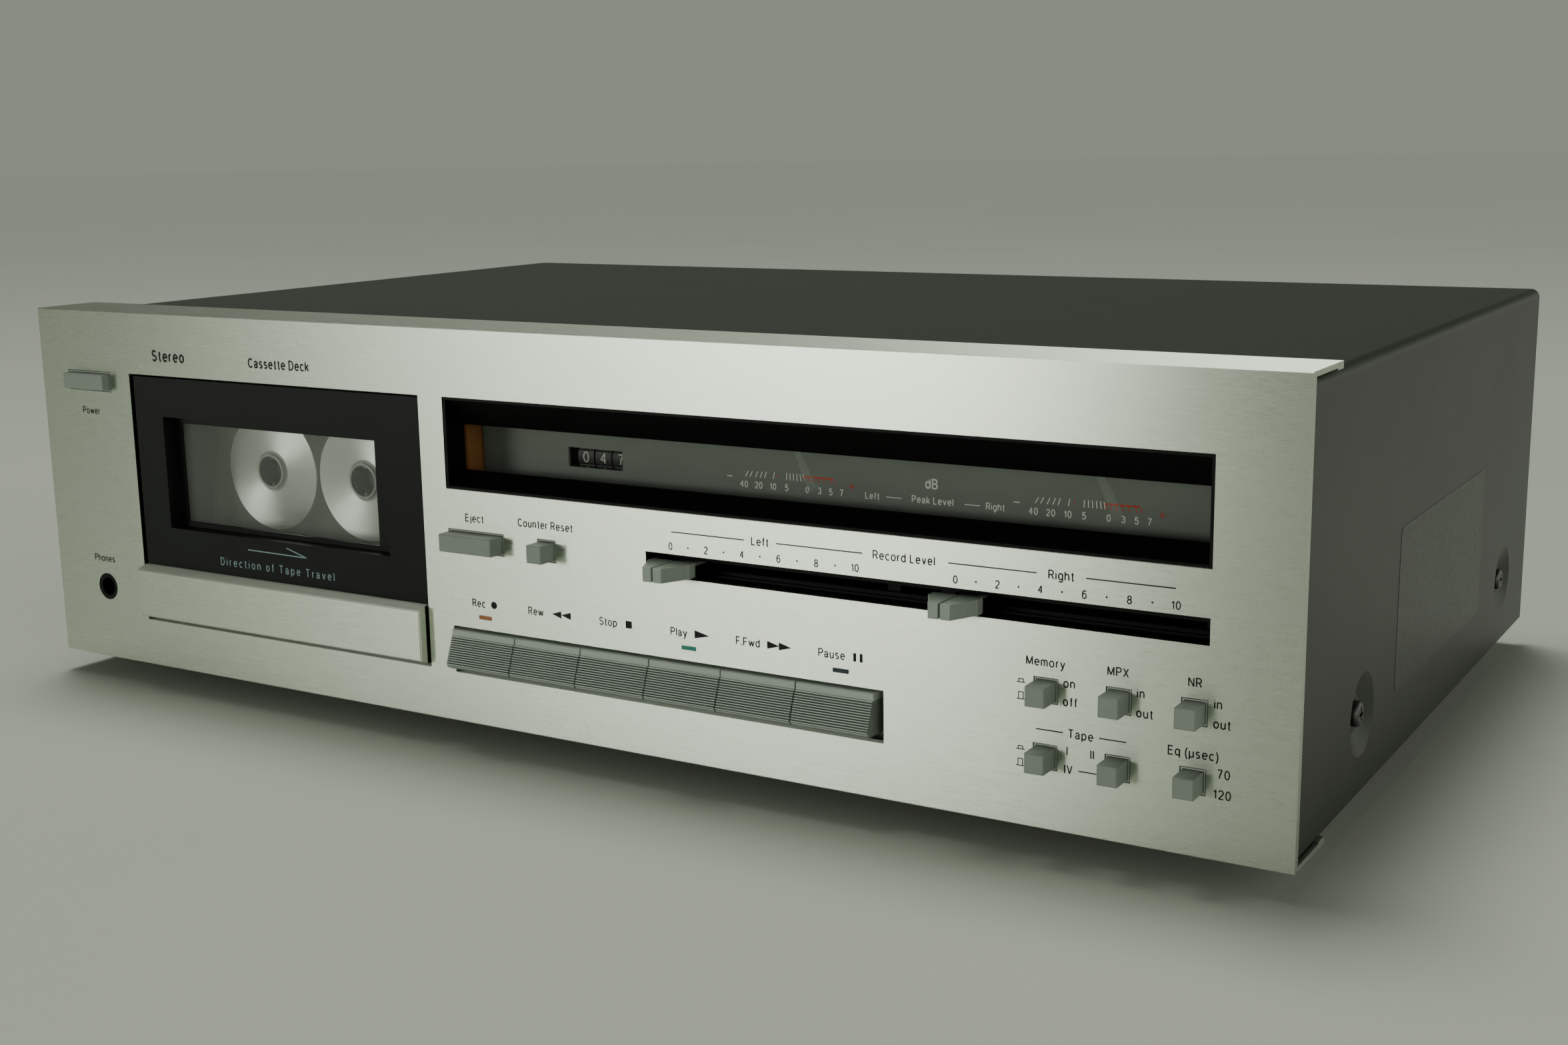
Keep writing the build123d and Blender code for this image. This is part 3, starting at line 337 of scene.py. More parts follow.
def lamp_windows(name, first_split, second_split):
    """Unlit lamp windows: amber, green and blue from left to right."""
    s = Shader(name, Specular_IOR_Level=0.5)
    x, _, _ = s.split(s.place())
    cloud = s.noise(s.place(), 1500.0, 2.0)
    green = s.math("GREATER_THAN", x, first_split)
    blue = s.math("GREATER_THAN", x, second_split)
    colour = s.mix(green, (0.44, 0.15, 0.045), (0.01, 0.30, 0.22))
    colour = s.mix(blue, colour, (0.012, 0.024, 0.045))
    s.drive("Base Color", s.mix(s.span(cloud, 0.0, 0.25), colour, (0.05, 0.05, 0.05)))
    s.drive("Roughness", s.span(cloud, 0.22, 0.36))
    s.bump(cloud, 0.1, 0.00003)
    return s.material


def clear_blade(name):
    """Clear acrylic whose cut edges gather a little light, so they look paler than its faces."""
    s = Shader(name, Base_Color=(0.6, 0.62, 0.58, 1.0))
    _, across, _ = s.facing()
    flat = s.math("GREATER_THAN", s.math("ABSOLUTE", across), 0.5)
    dust = s.noise(s.place(), 900.0, 3.0)
    s.drive("Roughness", s.span(dust, 0.2, 0.4))
    s.let_through(s.math("ADD", s.math("MULTIPLY", flat, -0.30), s.span(dust, 0.34, 0.37)))
    return s.material


def paper_label(name):
    """Dark printed paper, blank."""
    s = Shader(name)
    fibre = s.noise(s.place(), 700.0, 3.0)
    s.drive("Base Color", s.mix(s.span(fibre, 0, 1), (0.022, 0.024, 0.019), (0.030, 0.032, 0.026)))
    s.drive("Roughness", s.span(fibre, 0.32, 0.42))
    s.bump(fibre, 0.15, 0.00004)
    return s.material


def ink(name, colour):
    """Screen-printed ink with slightly uneven coverage."""
    s = Shader(name, Specular_IOR_Level=0.15)
    cover = s.noise(s.place(), 2500.0, 2.0)
    s.drive("Base Color", s.mix(s.span(cover, 0, 1), tone(colour, 0.85), tone(colour, 1.15)))
    s.drive("Roughness", s.span(cover, 0.44, 0.58))
    return s.material


# ------------------------------------------------------------------ what each CAD piece is made of
PANEL_SILVER = (0.615, 0.665, 0.575)
CAP_GREY = (0.26, 0.295, 0.262)
ZINC = (0.60, 0.61, 0.57)
JACK_X = (150.0, 168.0)
JACK_Z = (34.0, 54.0)
JACK_RADIUS = 0.0052
JACK_PLATE_Y = 279.9
BOARD_THICKNESS = 0.0016
FIRST_LAMP_END = 10.0
SECOND_LAMP_END = 72.0
EDGE = 0.12
FINE_EDGE = 0.04


def finish_nodes():
    """Gives every CAD piece its material and its edge."""
    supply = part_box("supply_reel")
    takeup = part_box("takeup_reel")
    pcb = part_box("main_board")
    jack_axes = [tuple(spot(x, 0, z))[::2] for x in JACK_X for z in JACK_Z]
    jack_rear = spot(0, JACK_PLATE_Y, 0).y
    lamp_ends = spot(FIRST_LAMP_END, 0, 0).x, spot(SECOND_LAMP_END, 0, 0).x
    materials = {
        "panel_aluminium": (brushed_aluminium("panel_aluminium", PANEL_SILVER), ["front_panel"]),
        "bar_aluminium": (brushed_aluminium("bar_aluminium", tone(PANEL_SILVER, 1.02)),
                          ["door_trim_bar"]),
        "cover_paint": (textured_paint("cover_paint", (0.016, 0.0175, 0.0135)), ["top_cover"]),
        "rear_paint": (textured_paint("rear_paint", (0.03, 0.03, 0.028), 3000.0), ["rear_panel"]),
        "zinc_steel": (turned_metal("zinc_steel", ZINC, 0.5),
                       ["base_pan", "key_frame", "head_bridge"]),
        "holder_paint": (textured_paint("holder_paint", (0.085, 0.093, 0.08), 3600.0),
                         ["cassette_holder"]),
        "deck_paint": (textured_paint("deck_paint", (0.30, 0.33, 0.28), 3600.0),
                       ["transport_plate"]),
        "screw_steel": (turned_metal("screw_steel", (0.12, 0.12, 0.115), 0.35), ["case_screws"]),
        "foot_rubber": (moulded_plastic("foot_rubber", (0.018, 0.018, 0.018), 0.6), ["feet"]),
        "door_black": (moulded_plastic("door_black", (0.007, 0.008, 0.007), 0.38, shine=0.15),
                       ["door_panel"]),
        "window_black": (moulded_plastic("window_black", (0.003, 0.003, 0.003), 0.4, shine=0.12),
                         ["meter_bezel", "slide_pots", "phones_jack", "push_switches",
                          "meter_housing"]),
        "cap_grey": (moulded_plastic("cap_grey", CAP_GREY, 0.42, shine=0.3),
                     ["power_button", "eject_button", "counter_reset_button", "memory_button",
                      "filter_button", "noise_reduction_button", "tape_button_one",
                      "tape_button_two", "equaliser_button"]),
        "key_grey": (ribbed_plastic("key_grey", tone(CAP_GREY, 1.65)),
                     ["record_key", "rewind_key", "stop_key", "play_key", "forward_key",
                      "pause_key"]),
        "knob_grey": (moulded_plastic("knob_grey", tone(CAP_GREY, 1.25), 0.42, shine=0.3),
                      ["left_slider_knob", "right_slider_knob"]),
        "bezel_grey": (moulded_plastic("bezel_grey", (0.40, 0.43, 0.39), 0.35, shine=0.5),
                       ["button_bezels"]),
        "smoked_pane": (pane("smoked_pane", (0.93, 0.94, 0.92)), ["meter_lens"]),
        # the door lens and the cassette shell carry a pale painted reflection over what is behind
        # them
        "door_pane": (pane("door_pane", (0.95, 0.96, 0.95), 0.11, 0.3, (0.42, 0.45, 0.41), 0.3),
                      ["door_lens"]),
        "shell_clear": (pane("shell_clear", (0.95, 0.96, 0.94), 0.12, 0.3, (0.40, 0.43, 0.39), 0.3),
                        ["cassette_shell"]),
        "supply_disc": (reel_disc("supply_disc", (supply[0] + supply[1]) / 2), ["supply_reel"]),
        "takeup_disc": (reel_disc("takeup_disc", (takeup[0] + takeup[1]) / 2), ["takeup_reel"]),
        "scale_grey": (moulded_plastic("scale_grey", (0.172, 0.192, 0.172), 0.6), ["scale_plate"]),
        "amber": (moulded_plastic("amber", (0.42, 0.175, 0.06), 0.3), ["amber_light_guide"]),
        "needle_clear": (clear_blade("needle_clear"), ["left_needle", "right_needle"]),
        "number_wheel": (moulded_plastic("number_wheel", (0.02, 0.02, 0.02), 0.5),
                         ["units_wheel", "tens_wheel", "hundreds_wheel"]),
        "flywheel_steel": (turned_metal("flywheel_steel", (0.55, 0.55, 0.52), 0.22),
                           ["supply_capstan", "takeup_capstan", "transport_motors"]),
        "spindle_black": (moulded_plastic("spindle_black", (0.03, 0.03, 0.03), 0.35),
                          ["supply_spindle", "takeup_spindle", "motor_pulley"]),
        "roller_rubber": (moulded_plastic("roller_rubber", (0.02, 0.02, 0.02), 0.7),
                          ["supply_pinch_roller", "takeup_pinch_roller", "capstan_belt"]),
        "board": (circuit_board("board", pcb[0].z + BOARD_THICKNESS), ["main_board"]),
        "transformer_iron": (turned_metal("transformer_iron", (0.10, 0.09, 0.08), 0.5, 0.6),
                             ["power_transformer"]),
        "jack_set": (jacks("jack_set", jack_axes, JACK_RADIUS, jack_rear), ["rear_connectors"]),
        "lamp_lens": (lamp_windows("lamp_lens", *lamp_ends), ["indicators"]),
    }
    for material, nodes in materials.values():
        for name in nodes:
            node = NODES[name]
            node.data.materials.clear()
            node.data.materials.append(material)
            soften(node, FINE_EDGE if name.endswith(("_key", "_knob")) else EDGE)


def see_through():
    """Clear sheets are seen by the camera only, so that light reaches what is behind them."""
    for name in ("meter_lens", "door_lens", "cassette_shell", "left_needle", "right_needle"):
        node = NODES[name]
        node.visible_shadow = False
        node.visible_glossy = False
        node.visible_diffuse = False


def soften(node, width):
    """A hair-thin rounding on the edges, so that they catch the light."""
    bevel = node.modifiers.new("edge", "BEVEL")
    bevel.width = width * MM
    bevel.segments = 1
    bevel.limit_method = "ANGLE"
    bevel.angle_limit = math.radians(50)
    bevel.harden_normals = False


# ------------------------------------------------------------------ printed marks
DOT_SIDES = 20
TICK_WIDTH = 0.24
TICK_LEAN = 0.8
SYMBOL_PEN = 0.26
SYMBOL_HALF = 0.65
SYMBOL_FOOT = 0.6
SYMBOL_DROP = 0.9
LETTER_GAP = 0.32
SHARP_TURN = -0.2


def prism(mesh, front, back):
    """A closed prism between two outlines of equally many points."""
    front = [mesh.verts.new(point) for point in front]
    back = [mesh.verts.new(point) for point in back]
    count = len(front)
    mesh.faces.new(front)
    mesh.faces.new(back[::-1])
    for i in range(count):
        j = (i + 1) % count
        mesh.faces.new((front[j], front[i], back[i], back[j]))


class Print:
    """Ink on a face that looks along -y: closed prisms a few hundredths thick, all in one mesh."""

    def __init__(self, name, y):
        self.name = name
        self.y = y
        self.mesh = bmesh.new()

    def polygon(self, points):
        prism(self.mesh, [spot(x, self.y - PRINT_T, z) for x, z in points],
              [spot(x, self.y, z) for x, z in points])

    def line(self, start, end, width=0.34):
        (x0, z0), (x1, z1) = start, end
        length = math.hypot(x1 - x0, z1 - z0)
        dx, dz = -(z1 - z0) / length * width / 2, (x1 - x0) / length * width / 2
        self.polygon([(x0 - dx, z0 - dz), (x1 - dx, z1 - dz),
                      (x1 + dx, z1 + dz), (x0 + dx, z0 + dz)])

    def dot(self, x, z, radius):
        turn = 2 * math.pi / DOT_SIDES
        self.polygon([(x + radius * math.cos(i * turn), z + radius * math.sin(i * turn))
                      for i in range(DOT_SIDES)])

    def triangle(self, x, z, width, height, way=1):
        self.polygon([(x - way * width / 2, z - height / 2), (x + way * width / 2, z),
                      (x - way * width / 2, z + height / 2)][::way])

    def text(self, words, x, z, cap=2.55, spacing=1.0, stroke=0.14):
        """Words centred on x and z, with capitals cap millimetres tall."""
        mesh = text_mesh(words, cap, spacing, stroke)
        turn = Matrix.Rotation(math.radians(90), 4, "X")
        place = Matrix.Translation(spot(x, self.y - PRINT_T / 2, z)) @ turn
        mesh.transform(place)
        self.mesh.from_mesh(mesh)
        bpy.data.meshes.remove(mesh)

    def done(self, material, body):
        bmesh.ops.recalc_face_normals(self.mesh, faces=self.mesh.faces)
        piece(self.name, self.mesh, material, body)


def arc(cx, cy, rx, ry, start, end):
    """Points of an elliptical arc between two angles in degrees."""
    steps = max(2, int(abs(end - start) / 22.5))
    turns = [math.radians(start + (end - start) * i / steps) for i in range(steps + 1)]
    return [(cx + rx * math.cos(t), cy + ry * math.sin(t)) for t in turns]


def glyphs():
    """Plain upright letters as pen strokes: each has a width and the strokes' middle lines.

    Heights are shares of a capital: 0 on the line, 1 at its top and 0.72 at a small letter's.
    """
    bowl = arc(0.25, 0.36, 0.25, 0.36, 0, 360)
    arch = [(0, 0.45)] + arc(0.23, 0.47, 0.23, 0.25, 180, 0) + [(0.46, 0)]
    cup = [(0, 0.72)] + arc(0.23, 0.25, 0.23, 0.25, 180, 360) + [(0.46, 0.72)]
    ring_p = [(0, 1), (0.3, 1)] + arc(0.3, 0.74, 0.26, 0.26, 90, -90) + [(0, 0.48)]
    return {
        " ": (0.06, []),
        "B": (0.56, [[(0, 0), (0, 1), (0.28, 1)] + arc(0.28, 0.76, 0.24, 0.24, 90, -90)
                     + [(0, 0.52)],
                     [(0.28, 0.52)] + arc(0.28, 0.26, 0.28, 0.26, 90, -90) + [(0, 0)]]),
        "C": (0.64, [arc(0.34, 0.5, 0.34, 0.5, 42, 318)]),
        "D": (0.6, [[(0, 0), (0, 1), (0.26, 1)] + arc(0.26, 0.5, 0.34, 0.5, 90, -90) + [(0, 0)]]),
        "E": (0.52, [[(0.52, 1), (0, 1), (0, 0), (0.54, 0)], [(0, 0.52), (0.48, 0.52)]]),
        "F": (0.48, [[(0.5, 1), (0, 1), (0, 0)], [(0, 0.5), (0.44, 0.5)]]),
        "I": (0.0, [[(0, 0), (0, 1)]]),
        "L": (0.46, [[(0, 1), (0, 0), (0.48, 0)]]),
        "M": (0.72, [[(0, 0), (0, 1), (0.36, 0.06), (0.72, 1), (0.72, 0)]]),
        "N": (0.58, [[(0, 0), (0, 1), (0.58, 0), (0.58, 1)]]),
        "P": (0.54, [[(0, 0)] + ring_p]),
        "R": (0.57, [[(0, 0)] + ring_p, [(0.32, 0.48), (0.58, 0)]]),
        "S": (0.55, [arc(0.28, 0.75, 0.25, 0.25, 25, 270) + arc(0.28, 0.25, 0.27, 0.25, 90, -155)]),
        "T": (0.58, [[(0, 1), (0.58, 1)], [(0.29, 1), (0.29, 0)]]),
        "V": (0.6, [[(0, 1), (0.3, 0), (0.6, 1)]]),
        "X": (0.58, [[(0, 0), (0.58, 1)], [(0, 1), (0.58, 0)]]),
        "a": (0.47, [[(0.03, 0.54)] + arc(0.22, 0.52, 0.2, 0.2, 150, 0) + [(0.42, 0.1), (0.5, 0.0)],
                     [(0.42, 0.42), (0.17, 0.37)] + arc(0.18, 0.19, 0.18, 0.19, 110, 300)
                     + [(0.42, 0.2)]]),
        "c": (0.46, [arc(0.26, 0.36, 0.26, 0.36, 45, 315)]),
        "d": (0.5, [bowl, [(0.5, 1), (0.5, 0)]]),
        "e": (0.52, [[(0.02, 0.38), (0.52, 0.38)] + arc(0.27, 0.36, 0.26, 0.36, 10, 318)]),
        "f": (0.24, [[(0.28, 1), (0.18, 0.98), (0.13, 0.88), (0.13, 0)],
                     [(0, 0.72), (0.27, 0.72)]]),
        "g": (0.5, [bowl, [(0.5, 0.72)] + arc(0.26, -0.05, 0.24, 0.23, 0, -150)]),
        "h": (0.46, [[(0, 0), (0, 1)], arch]),
        "i": (0.0, [[(0, 0), (0, 0.72)], [(0, 0.92), (0, 1.0)]]),
        "j": (0.08, [[(0.08, 0.72), (0.08, -0.16), (0.03, -0.25), (-0.05, -0.27)],
                     [(0.08, 0.92), (0.08, 1.0)]]),
        "k": (0.44, [[(0, 0), (0, 1)], [(0.43, 0.72), (0, 0.26)], [(0.15, 0.42), (0.46, 0)]]),
        "l": (0.0, [[(0, 0), (0, 1)]]),
        "m": (0.72, [[(0, 0), (0, 0.72)],
                     [(0, 0.5)] + arc(0.18, 0.52, 0.18, 0.2, 180, 0) + [(0.36, 0)],
                     [(0.36, 0.5)] + arc(0.54, 0.52, 0.18, 0.2, 180, 0) + [(0.72, 0)]]),
        "n": (0.46, [[(0, 0), (0, 0.72)], arch]),
        "o": (0.53, [arc(0.265, 0.36, 0.265, 0.36, 0, 360)]),
        "p": (0.5, [[(0, 0.72), (0, -0.27)], bowl]),
        "q": (0.5, [[(0.5, 0.72), (0.5, -0.27)], bowl]),
        "r": (0.22, [[(0, 0), (0, 0.72)], [(0, 0.46)] + arc(0.22, 0.46, 0.22, 0.26, 180, 85)]),
        "s": (0.43, [arc(0.22, 0.54, 0.19, 0.18, 30, 270) + arc(0.22, 0.18, 0.21, 0.18, 90, -150)]),
        "t": (0.25, [[(0.13, 0.94), (0.13, 0.12), (0.18, 0.01), (0.3, 0.0)],
                     [(0, 0.72), (0.28, 0.72)]]),
        "u": (0.46, [cup, [(0.46, 0.3), (0.46, 0)]]),
        "v": (0.46, [[(0, 0.72), (0.24, 0), (0.48, 0.72)]]),
        "w": (0.74, [[(0, 0.72), (0.19, 0), (0.38, 0.68), (0.57, 0), (0.76, 0.72)]]),
        "y": (0.48, [[(0, 0.72), (0.25, 0.02)],
                     [(0.5, 0.72), (0.22, -0.1), (0.14, -0.25), (0.02, -0.27)]]),
        "\u00b5": (0.46, [[(0, 0.4), (0, -0.27)], cup, [(0.46, 0.3), (0.46, 0)]]),
        ".": (0.0, [[(0, -0.07), (0, 0.1)]]),
        "(": (0.14, [[(0.18, 1.05), (0.05, 0.75), (0, 0.38), (0.05, 0), (0.18, -0.3)]]),
        ")": (0.14, [[(0, 1.05), (0.13, 0.75), (0.18, 0.38), (0.13, 0), (0, -0.3)]]),
        "0": (0.52, [arc(0.26, 0.5, 0.26, 0.5, 0, 360)]),
        "1": (0.32, [[(0.06, 0.78), (0.22, 0.84), (0.3, 1), (0.3, 0)]]),
        "2": (0.52, [arc(0.27, 0.72, 0.25, 0.28, 165, -30) + [(0, 0), (0.53, 0)]]),
        "3": (0.52, [arc(0.26, 0.76, 0.23, 0.24, 160, -90)
                     + arc(0.26, 0.26, 0.26, 0.26, 90, -160)]),
        "4": (0.54, [[(0.41, 0), (0.41, 1), (0, 0.32), (0.55, 0.32)]]),
        "5": (0.52, [[(0.48, 1), (0.1, 1), (0.05, 0.5)] + arc(0.26, 0.32, 0.26, 0.33, 140, -155)]),
        "6": (0.52, [arc(0.26, 0.32, 0.26, 0.32, 0, 360),
                     arc(0.29, 0.6, 0.28, 0.4, 45, 180) + [(0, 0.35)]]),
        "7": (0.52, [[(0, 1), (0.52, 1), (0.3, 0.5), (0.2, 0)]]),
        "8": (0.52, [arc(0.26, 0.76, 0.22, 0.24, 0, 360), arc(0.26, 0.26, 0.26, 0.26, 0, 360)]),
        "9": (0.52, [arc(0.26, 0.68, 0.26, 0.32, 0, 360),
                     [(0.52, 0.65)] + arc(0.23, 0.4, 0.28, 0.4, 0, -135)]),
    }


GLYPHS = glyphs()


def offset_points(points, closed, reach):
    """Points moved sideways by reach, with mitred corners."""
    count = len(points)
    moved = []
    for i, (x, y) in enumerate(points):
        sides = []
        for j in (i, i + 1):
            if closed or 0 < j < count:
                ax, ay = points[(j - 1) % count]
                bx, by = points[j % count]
                length = math.hypot(bx - ax, by - ay)
                sides.append((-(by - ay) / length, (bx - ax) / length))
        nx = sum(n[0] for n in sides) / len(sides)
        ny = sum(n[1] for n in sides) / len(sides)
        stretch = reach / max(nx * nx + ny * ny, 0.3)
        moved.append((x + nx * stretch, y + ny * stretch))
    return moved


def ribbon(mesh, points, width, front, back):
    """A flat closed stroke of even width along points; a line that comes round joins its start."""
    points = [p for i, p in enumerate(points) if i == 0 or math.dist(p, points[i - 1]) > 1e-5]
    for i in range(1, len(points) - 1):
        back_x, back_y = points[i][0] - points[i - 1][0], points[i][1] - points[i - 1][1]
        on_x, on_y = points[i + 1][0] - points[i][0], points[i + 1][1] - points[i][1]
        lengths = math.hypot(back_x, back_y) * math.hypot(on_x, on_y)
        if back_x * on_x + back_y * on_y < SHARP_TURN * lengths:
            ribbon(mesh, points[:i + 1], width, front, back)
            ribbon(mesh, points[i:], width, front * 0.97, back)
            return
    closed = math.dist(points[0], points[-1]) < 1e-4
    if closed:
        points = points[:-1]
    left = offset_points(points, closed, width / 2)
    right = offset_points(points, closed, -width / 2)
    rows = []
    for (lx, ly), (rx, ry) in zip(left, right):
        corners = ((lx, ly, front), (rx, ry, front), (rx, ry, back), (lx, ly, back))
        rows.append([mesh.verts.new(corner) for corner in corners])
    count = len(rows)
    for i in range(count if closed else count - 1):
        here, there = rows[i], rows[(i + 1) % count]
        for k in range(4):
            mesh.faces.new((here[k], here[(k + 1) % 4], there[(k + 1) % 4], there[k]))
    if not closed:
        mesh.faces.new(rows[0][::-1])
        mesh.faces.new(rows[-1])


def text_mesh(words, cap, spacing, stroke):
    """Thin raised letters in metres, capitals cap millimetres tall, centred on their own origin.

    Three heights take turns along the strokes, so that strokes that cross don't share a face.
    """
    mesh = bmesh.new()
    size = cap * (1 - stroke) * MM
    pen = cap * stroke * MM
    across = 0.0
    layer = 0
    for letter in words:
        width, strokes = GLYPHS[letter]
        for line in strokes:
            front = PRINT_T * MM / 2 * (1 - 0.04 * (layer % 3))
            placed = [((across + x) * size, y * size) for x, y in line]
            ribbon(mesh, placed, pen, front, -PRINT_T * MM / 2)
            layer += 1
        across += width + LETTER_GAP * spacing
    full = (across - LETTER_GAP * spacing) * size
    bmesh.ops.translate(mesh, verts=mesh.verts, vec=(-full / 2, -size / 2, 0))
    bmesh.ops.recalc_face_normals(mesh, faces=mesh.faces)
    data = bpy.data.meshes.new("words")
    mesh.to_mesh(data)
    mesh.free()
    return data


def piece(name, mesh, material, body):
    """Turns a finished bmesh into an object that rides on a body."""
    data = bpy.data.meshes.new(name)
    mesh.to_mesh(data)
    mesh.free()
    data.materials.append(material)
    item = bpy.data.objects.new(name, data)
    bpy.context.scene.collection.objects.link(item)
    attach(item, body)


def panel_lettering():
    """Words, lines and symbols in black on the front panel."""
    black = ink("black_ink", (0.012, 0.012, 0.012))
    marks = Print("panel_lettering", 0.0)
    for words, x, z in (
        ("Power", -201.2, 88.7), ("Phones", -200.9, 36.1), ("Eject", -30.1, 65.8),
        ("Counter Reset", -2.9, 66.15), ("Left", 72.6, 68.5), ("Record Level", 117.6, 68.5),
        ("Right", 162.7, 68.5), ("Rec", -29.9, 39.2), ("Rew", -7.7, 39.2), ("Stop", 19.3, 39.2),
        ("Play", 44.5, 39.2), ("F.Fwd", 68.0, 39.2), ("Pause", 95.2, 39.2),
        ("Memory", 158.7, 45.25),
        ("on", 165.3, 40.4), ("off", 165.6, 35.5), ("MPX", 178.5, 45.3), ("in", 184.6, 40.5),
        ("out", 185.7, 35.4), ("NR", 198.6, 45.3), ("in", 204.6, 40.5), ("out", 205.7, 35.5),
        ("Tape", 168.65, 27.1), ("I", 165.0, 22.4), ("II", 171.9, 22.4), ("IV", 165.4, 17.4),
        ("Eq (µsec)", 198.5, 27.05), ("70", 206.5, 22.7), ("120", 206.2, 17.4),
    ):
        marks.text(words, x, z)
    marks.text("Stereo", -160.5, 109.3, 4.0, 1.2, 0.17)
    marks.text("Cassette Deck", -109.2, 109.0, 3.3, 1.05, 0.16)
    for start, end in (((42.8, 68.5), (67.4, 68.5)), ((77.85, 68.5), (105.1, 68.5)),
                       ((130.8, 68.5), (156.0, 68.5)), ((169.5, 68.5), (193.05, 68.5)),
                       ((156.2, 27.1), (163.75, 27.1)), ((173.7, 27.1), (181.05, 27.1)),
                       ((168.2, 17.4), (173.3, 17.4))):
        marks.line(start, end)
    for first in (42.45, 132.9):
        for step in range(6):
            x = first + 12.05 * step
            marks.text(str(2 * step), x, 64.25, 2.3)
            if step < 5:
                marks.dot(x + 6.0, 64.25, 0.28)
    marks.dot(-23.9, 39.2, 1.15)
    for x in (0.2, 3.7):
        marks.triangle(x, 39.2, 3.6, 2.2, -1)
    marks.polygon([(25.7, 38.1), (27.9, 38.1), (27.9, 40.3), (25.7, 40.3)])
    marks.triangle(52.6, 39.2, 5.2, 2.4)
    for x in (76.5, 80.3):
        marks.triangle(x, 39.2, 4.1, 2.3)
    for x in (102.5, 104.5):
        marks.polygon([(x - 0.45, 38.0), (x + 0.45, 38.0), (x + 0.45, 40.4), (x - 0.45, 40.4)])
    for z in (39.95, 21.8):
        push_symbol(marks, 151.9, z, 0.85)
    for z in (35.4, 17.3):
        push_symbol(marks, 151.9, z, 1.9)
    marks.done(black, "chassis")


def push_symbol(marks, x, z, height):
    """Outline of a button standing on a line: low for pressed, tall for released."""
    base = z - SYMBOL_DROP
    top = base + height
    left, right = x - SYMBOL_HALF, x + SYMBOL_HALF
    for start, end in (((left - SYMBOL_FOOT, base), (right + SYMBOL_FOOT, base)),
                       ((left, base), (left, top)), ((right, base), (right, top)),
                       ((left - SYMBOL_PEN / 2, top), (right + SYMBOL_PEN / 2, top))):
        marks.line(start, end, SYMBOL_PEN)


def door_marks():
    """An arrow line and plain words, pale, on the door."""
    pale = ink("pale_ink", (0.30, 0.42, 0.44))
    marks = Print("door_marks", 1.0)
    marks.line((-130.0, 45.9), (-103.1, 45.75), 0.35)
    marks.line((-103.1, 45.75), (-112.0, 48.2), 0.35)
    marks.text("Direction of Tape Travel", -117.3, 40.7, 2.8, 1.7, 0.11)
    marks.done(pale, "door")


def scale_marks():
    """White and red print on the meters' scale plate."""
    y = 18.7
    white = Print("scale_print_white", y)
    red = Print("scale_print_red", y)
    for shift in (0.0, 90.7):
        pivot = (71.3 + shift, 103.0)
        white.line((50.1 + shift, 82.45), (51.9 + shift, 82.45), 0.28)
        for words, x in (("40", 55.85), ("20", 60.8), ("10", 65.6), ("5", 70.2), ("0", 77.06),
                         ("3", 81.05), ("5", 84.7), ("7", 88.2)):
            white.text(words, x + shift, 80.45, 2.0)
        for x in (56.4, 57.9, 59.8, 61.4, 62.9, 65.8, 70.2, 71.4, 72.6, 73.8, 75.0, 76.1):
            tick(white, pivot, x + shift, 82.7, 2.0)
        for x in (76.4, 77.8, 79.4, 81.0, 82.9, 85.0, 86.4):
            tick(red, pivot, x + shift, 82.6, 1.6)
        tick(red, pivot, 67.45 + shift, 83.4, 0.9)
        red.line((76.1 + shift, 84.15), (85.6 + shift, 84.15), 0.45)
        red.line((90.6 + shift, 82.5), (92.4 + shift, 82.5), 0.28)
        red.line((91.5 + shift, 81.6), (91.5 + shift, 83.4), 0.28)
    white.text("dB", 116.4, 85.3, 2.9)
    white.text("Left", 98.0, 80.5, 2.0)
    white.text("Peak Level", 116.7, 80.7, 2.1)
    white.text("Right", 135.5, 80.6, 2.0)
    white.line((102.4, 80.5), (107.2, 80.5), 0.25)
    white.line((126.4, 80.5), (131.0, 80.5), 0.25)
    white.done(ink("white_ink", (0.85, 0.88, 0.80)), "chassis")
    red.done(ink("red_ink", (0.62, 0.06, 0.03)), "chassis")


def tick(marks, pivot, x, z, length):
    """A short scale line that points at the needle's pivot."""
    dx, dz = pivot[0] - x, pivot[1] - z
    reach = length / math.hypot(dx, dz)
    marks.line((x, z), (x + dx * reach * TICK_LEAN, z + dz * reach), TICK_WIDTH)


FIGURE_CAP = 3.5
FIGURE_STRETCH = 1.1
FIGURE_CUTS = [step * 0.5 for step in range(-4, 5)]


def counter_digits():
    """The ten figures round each number wheel, bent to its rim."""
    paint = ink("figure_ink", (0.55, 0.56, 0.52))
    for node, shown in (("hundreds_wheel", 0), ("tens_wheel", 4), ("units_wheel", 7)):
        low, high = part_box(node)
        centre = (low + high) / 2
        radius = (high.y - low.y) / 2
        mesh = bmesh.new()
        for digit in range(10):
            flat = text_mesh(str(digit), FIGURE_CAP, 1.0, 0.12)
            strip = bmesh.new()
            strip.from_mesh(flat)
            bpy.data.meshes.remove(flat)
            for cut in FIGURE_CUTS:
                geometry = strip.verts[:] + strip.edges[:] + strip.faces[:]
                bmesh.ops.bisect_plane(strip, geom=geometry, plane_co=(0, cut * MM, 0),
                                       plane_no=(0, 1, 0))
            turn = math.radians(36 * (digit - shown))
            for vertex in strip.verts:
                angle = turn + vertex.co.y / radius
                reach = radius + vertex.co.z + PRINT_T * MM / 2
                vertex.co = centre + Vector((vertex.co.x * FIGURE_STRETCH,
                                             -reach * math.cos(angle), reach * math.sin(angle)))
            part = bpy.data.meshes.new("digit")
            strip.to_mesh(part)
            strip.free()
            mesh.from_mesh(part)
            bpy.data.meshes.remove(part)
        piece(node.replace("wheel", "figures"), mesh, paint, node)


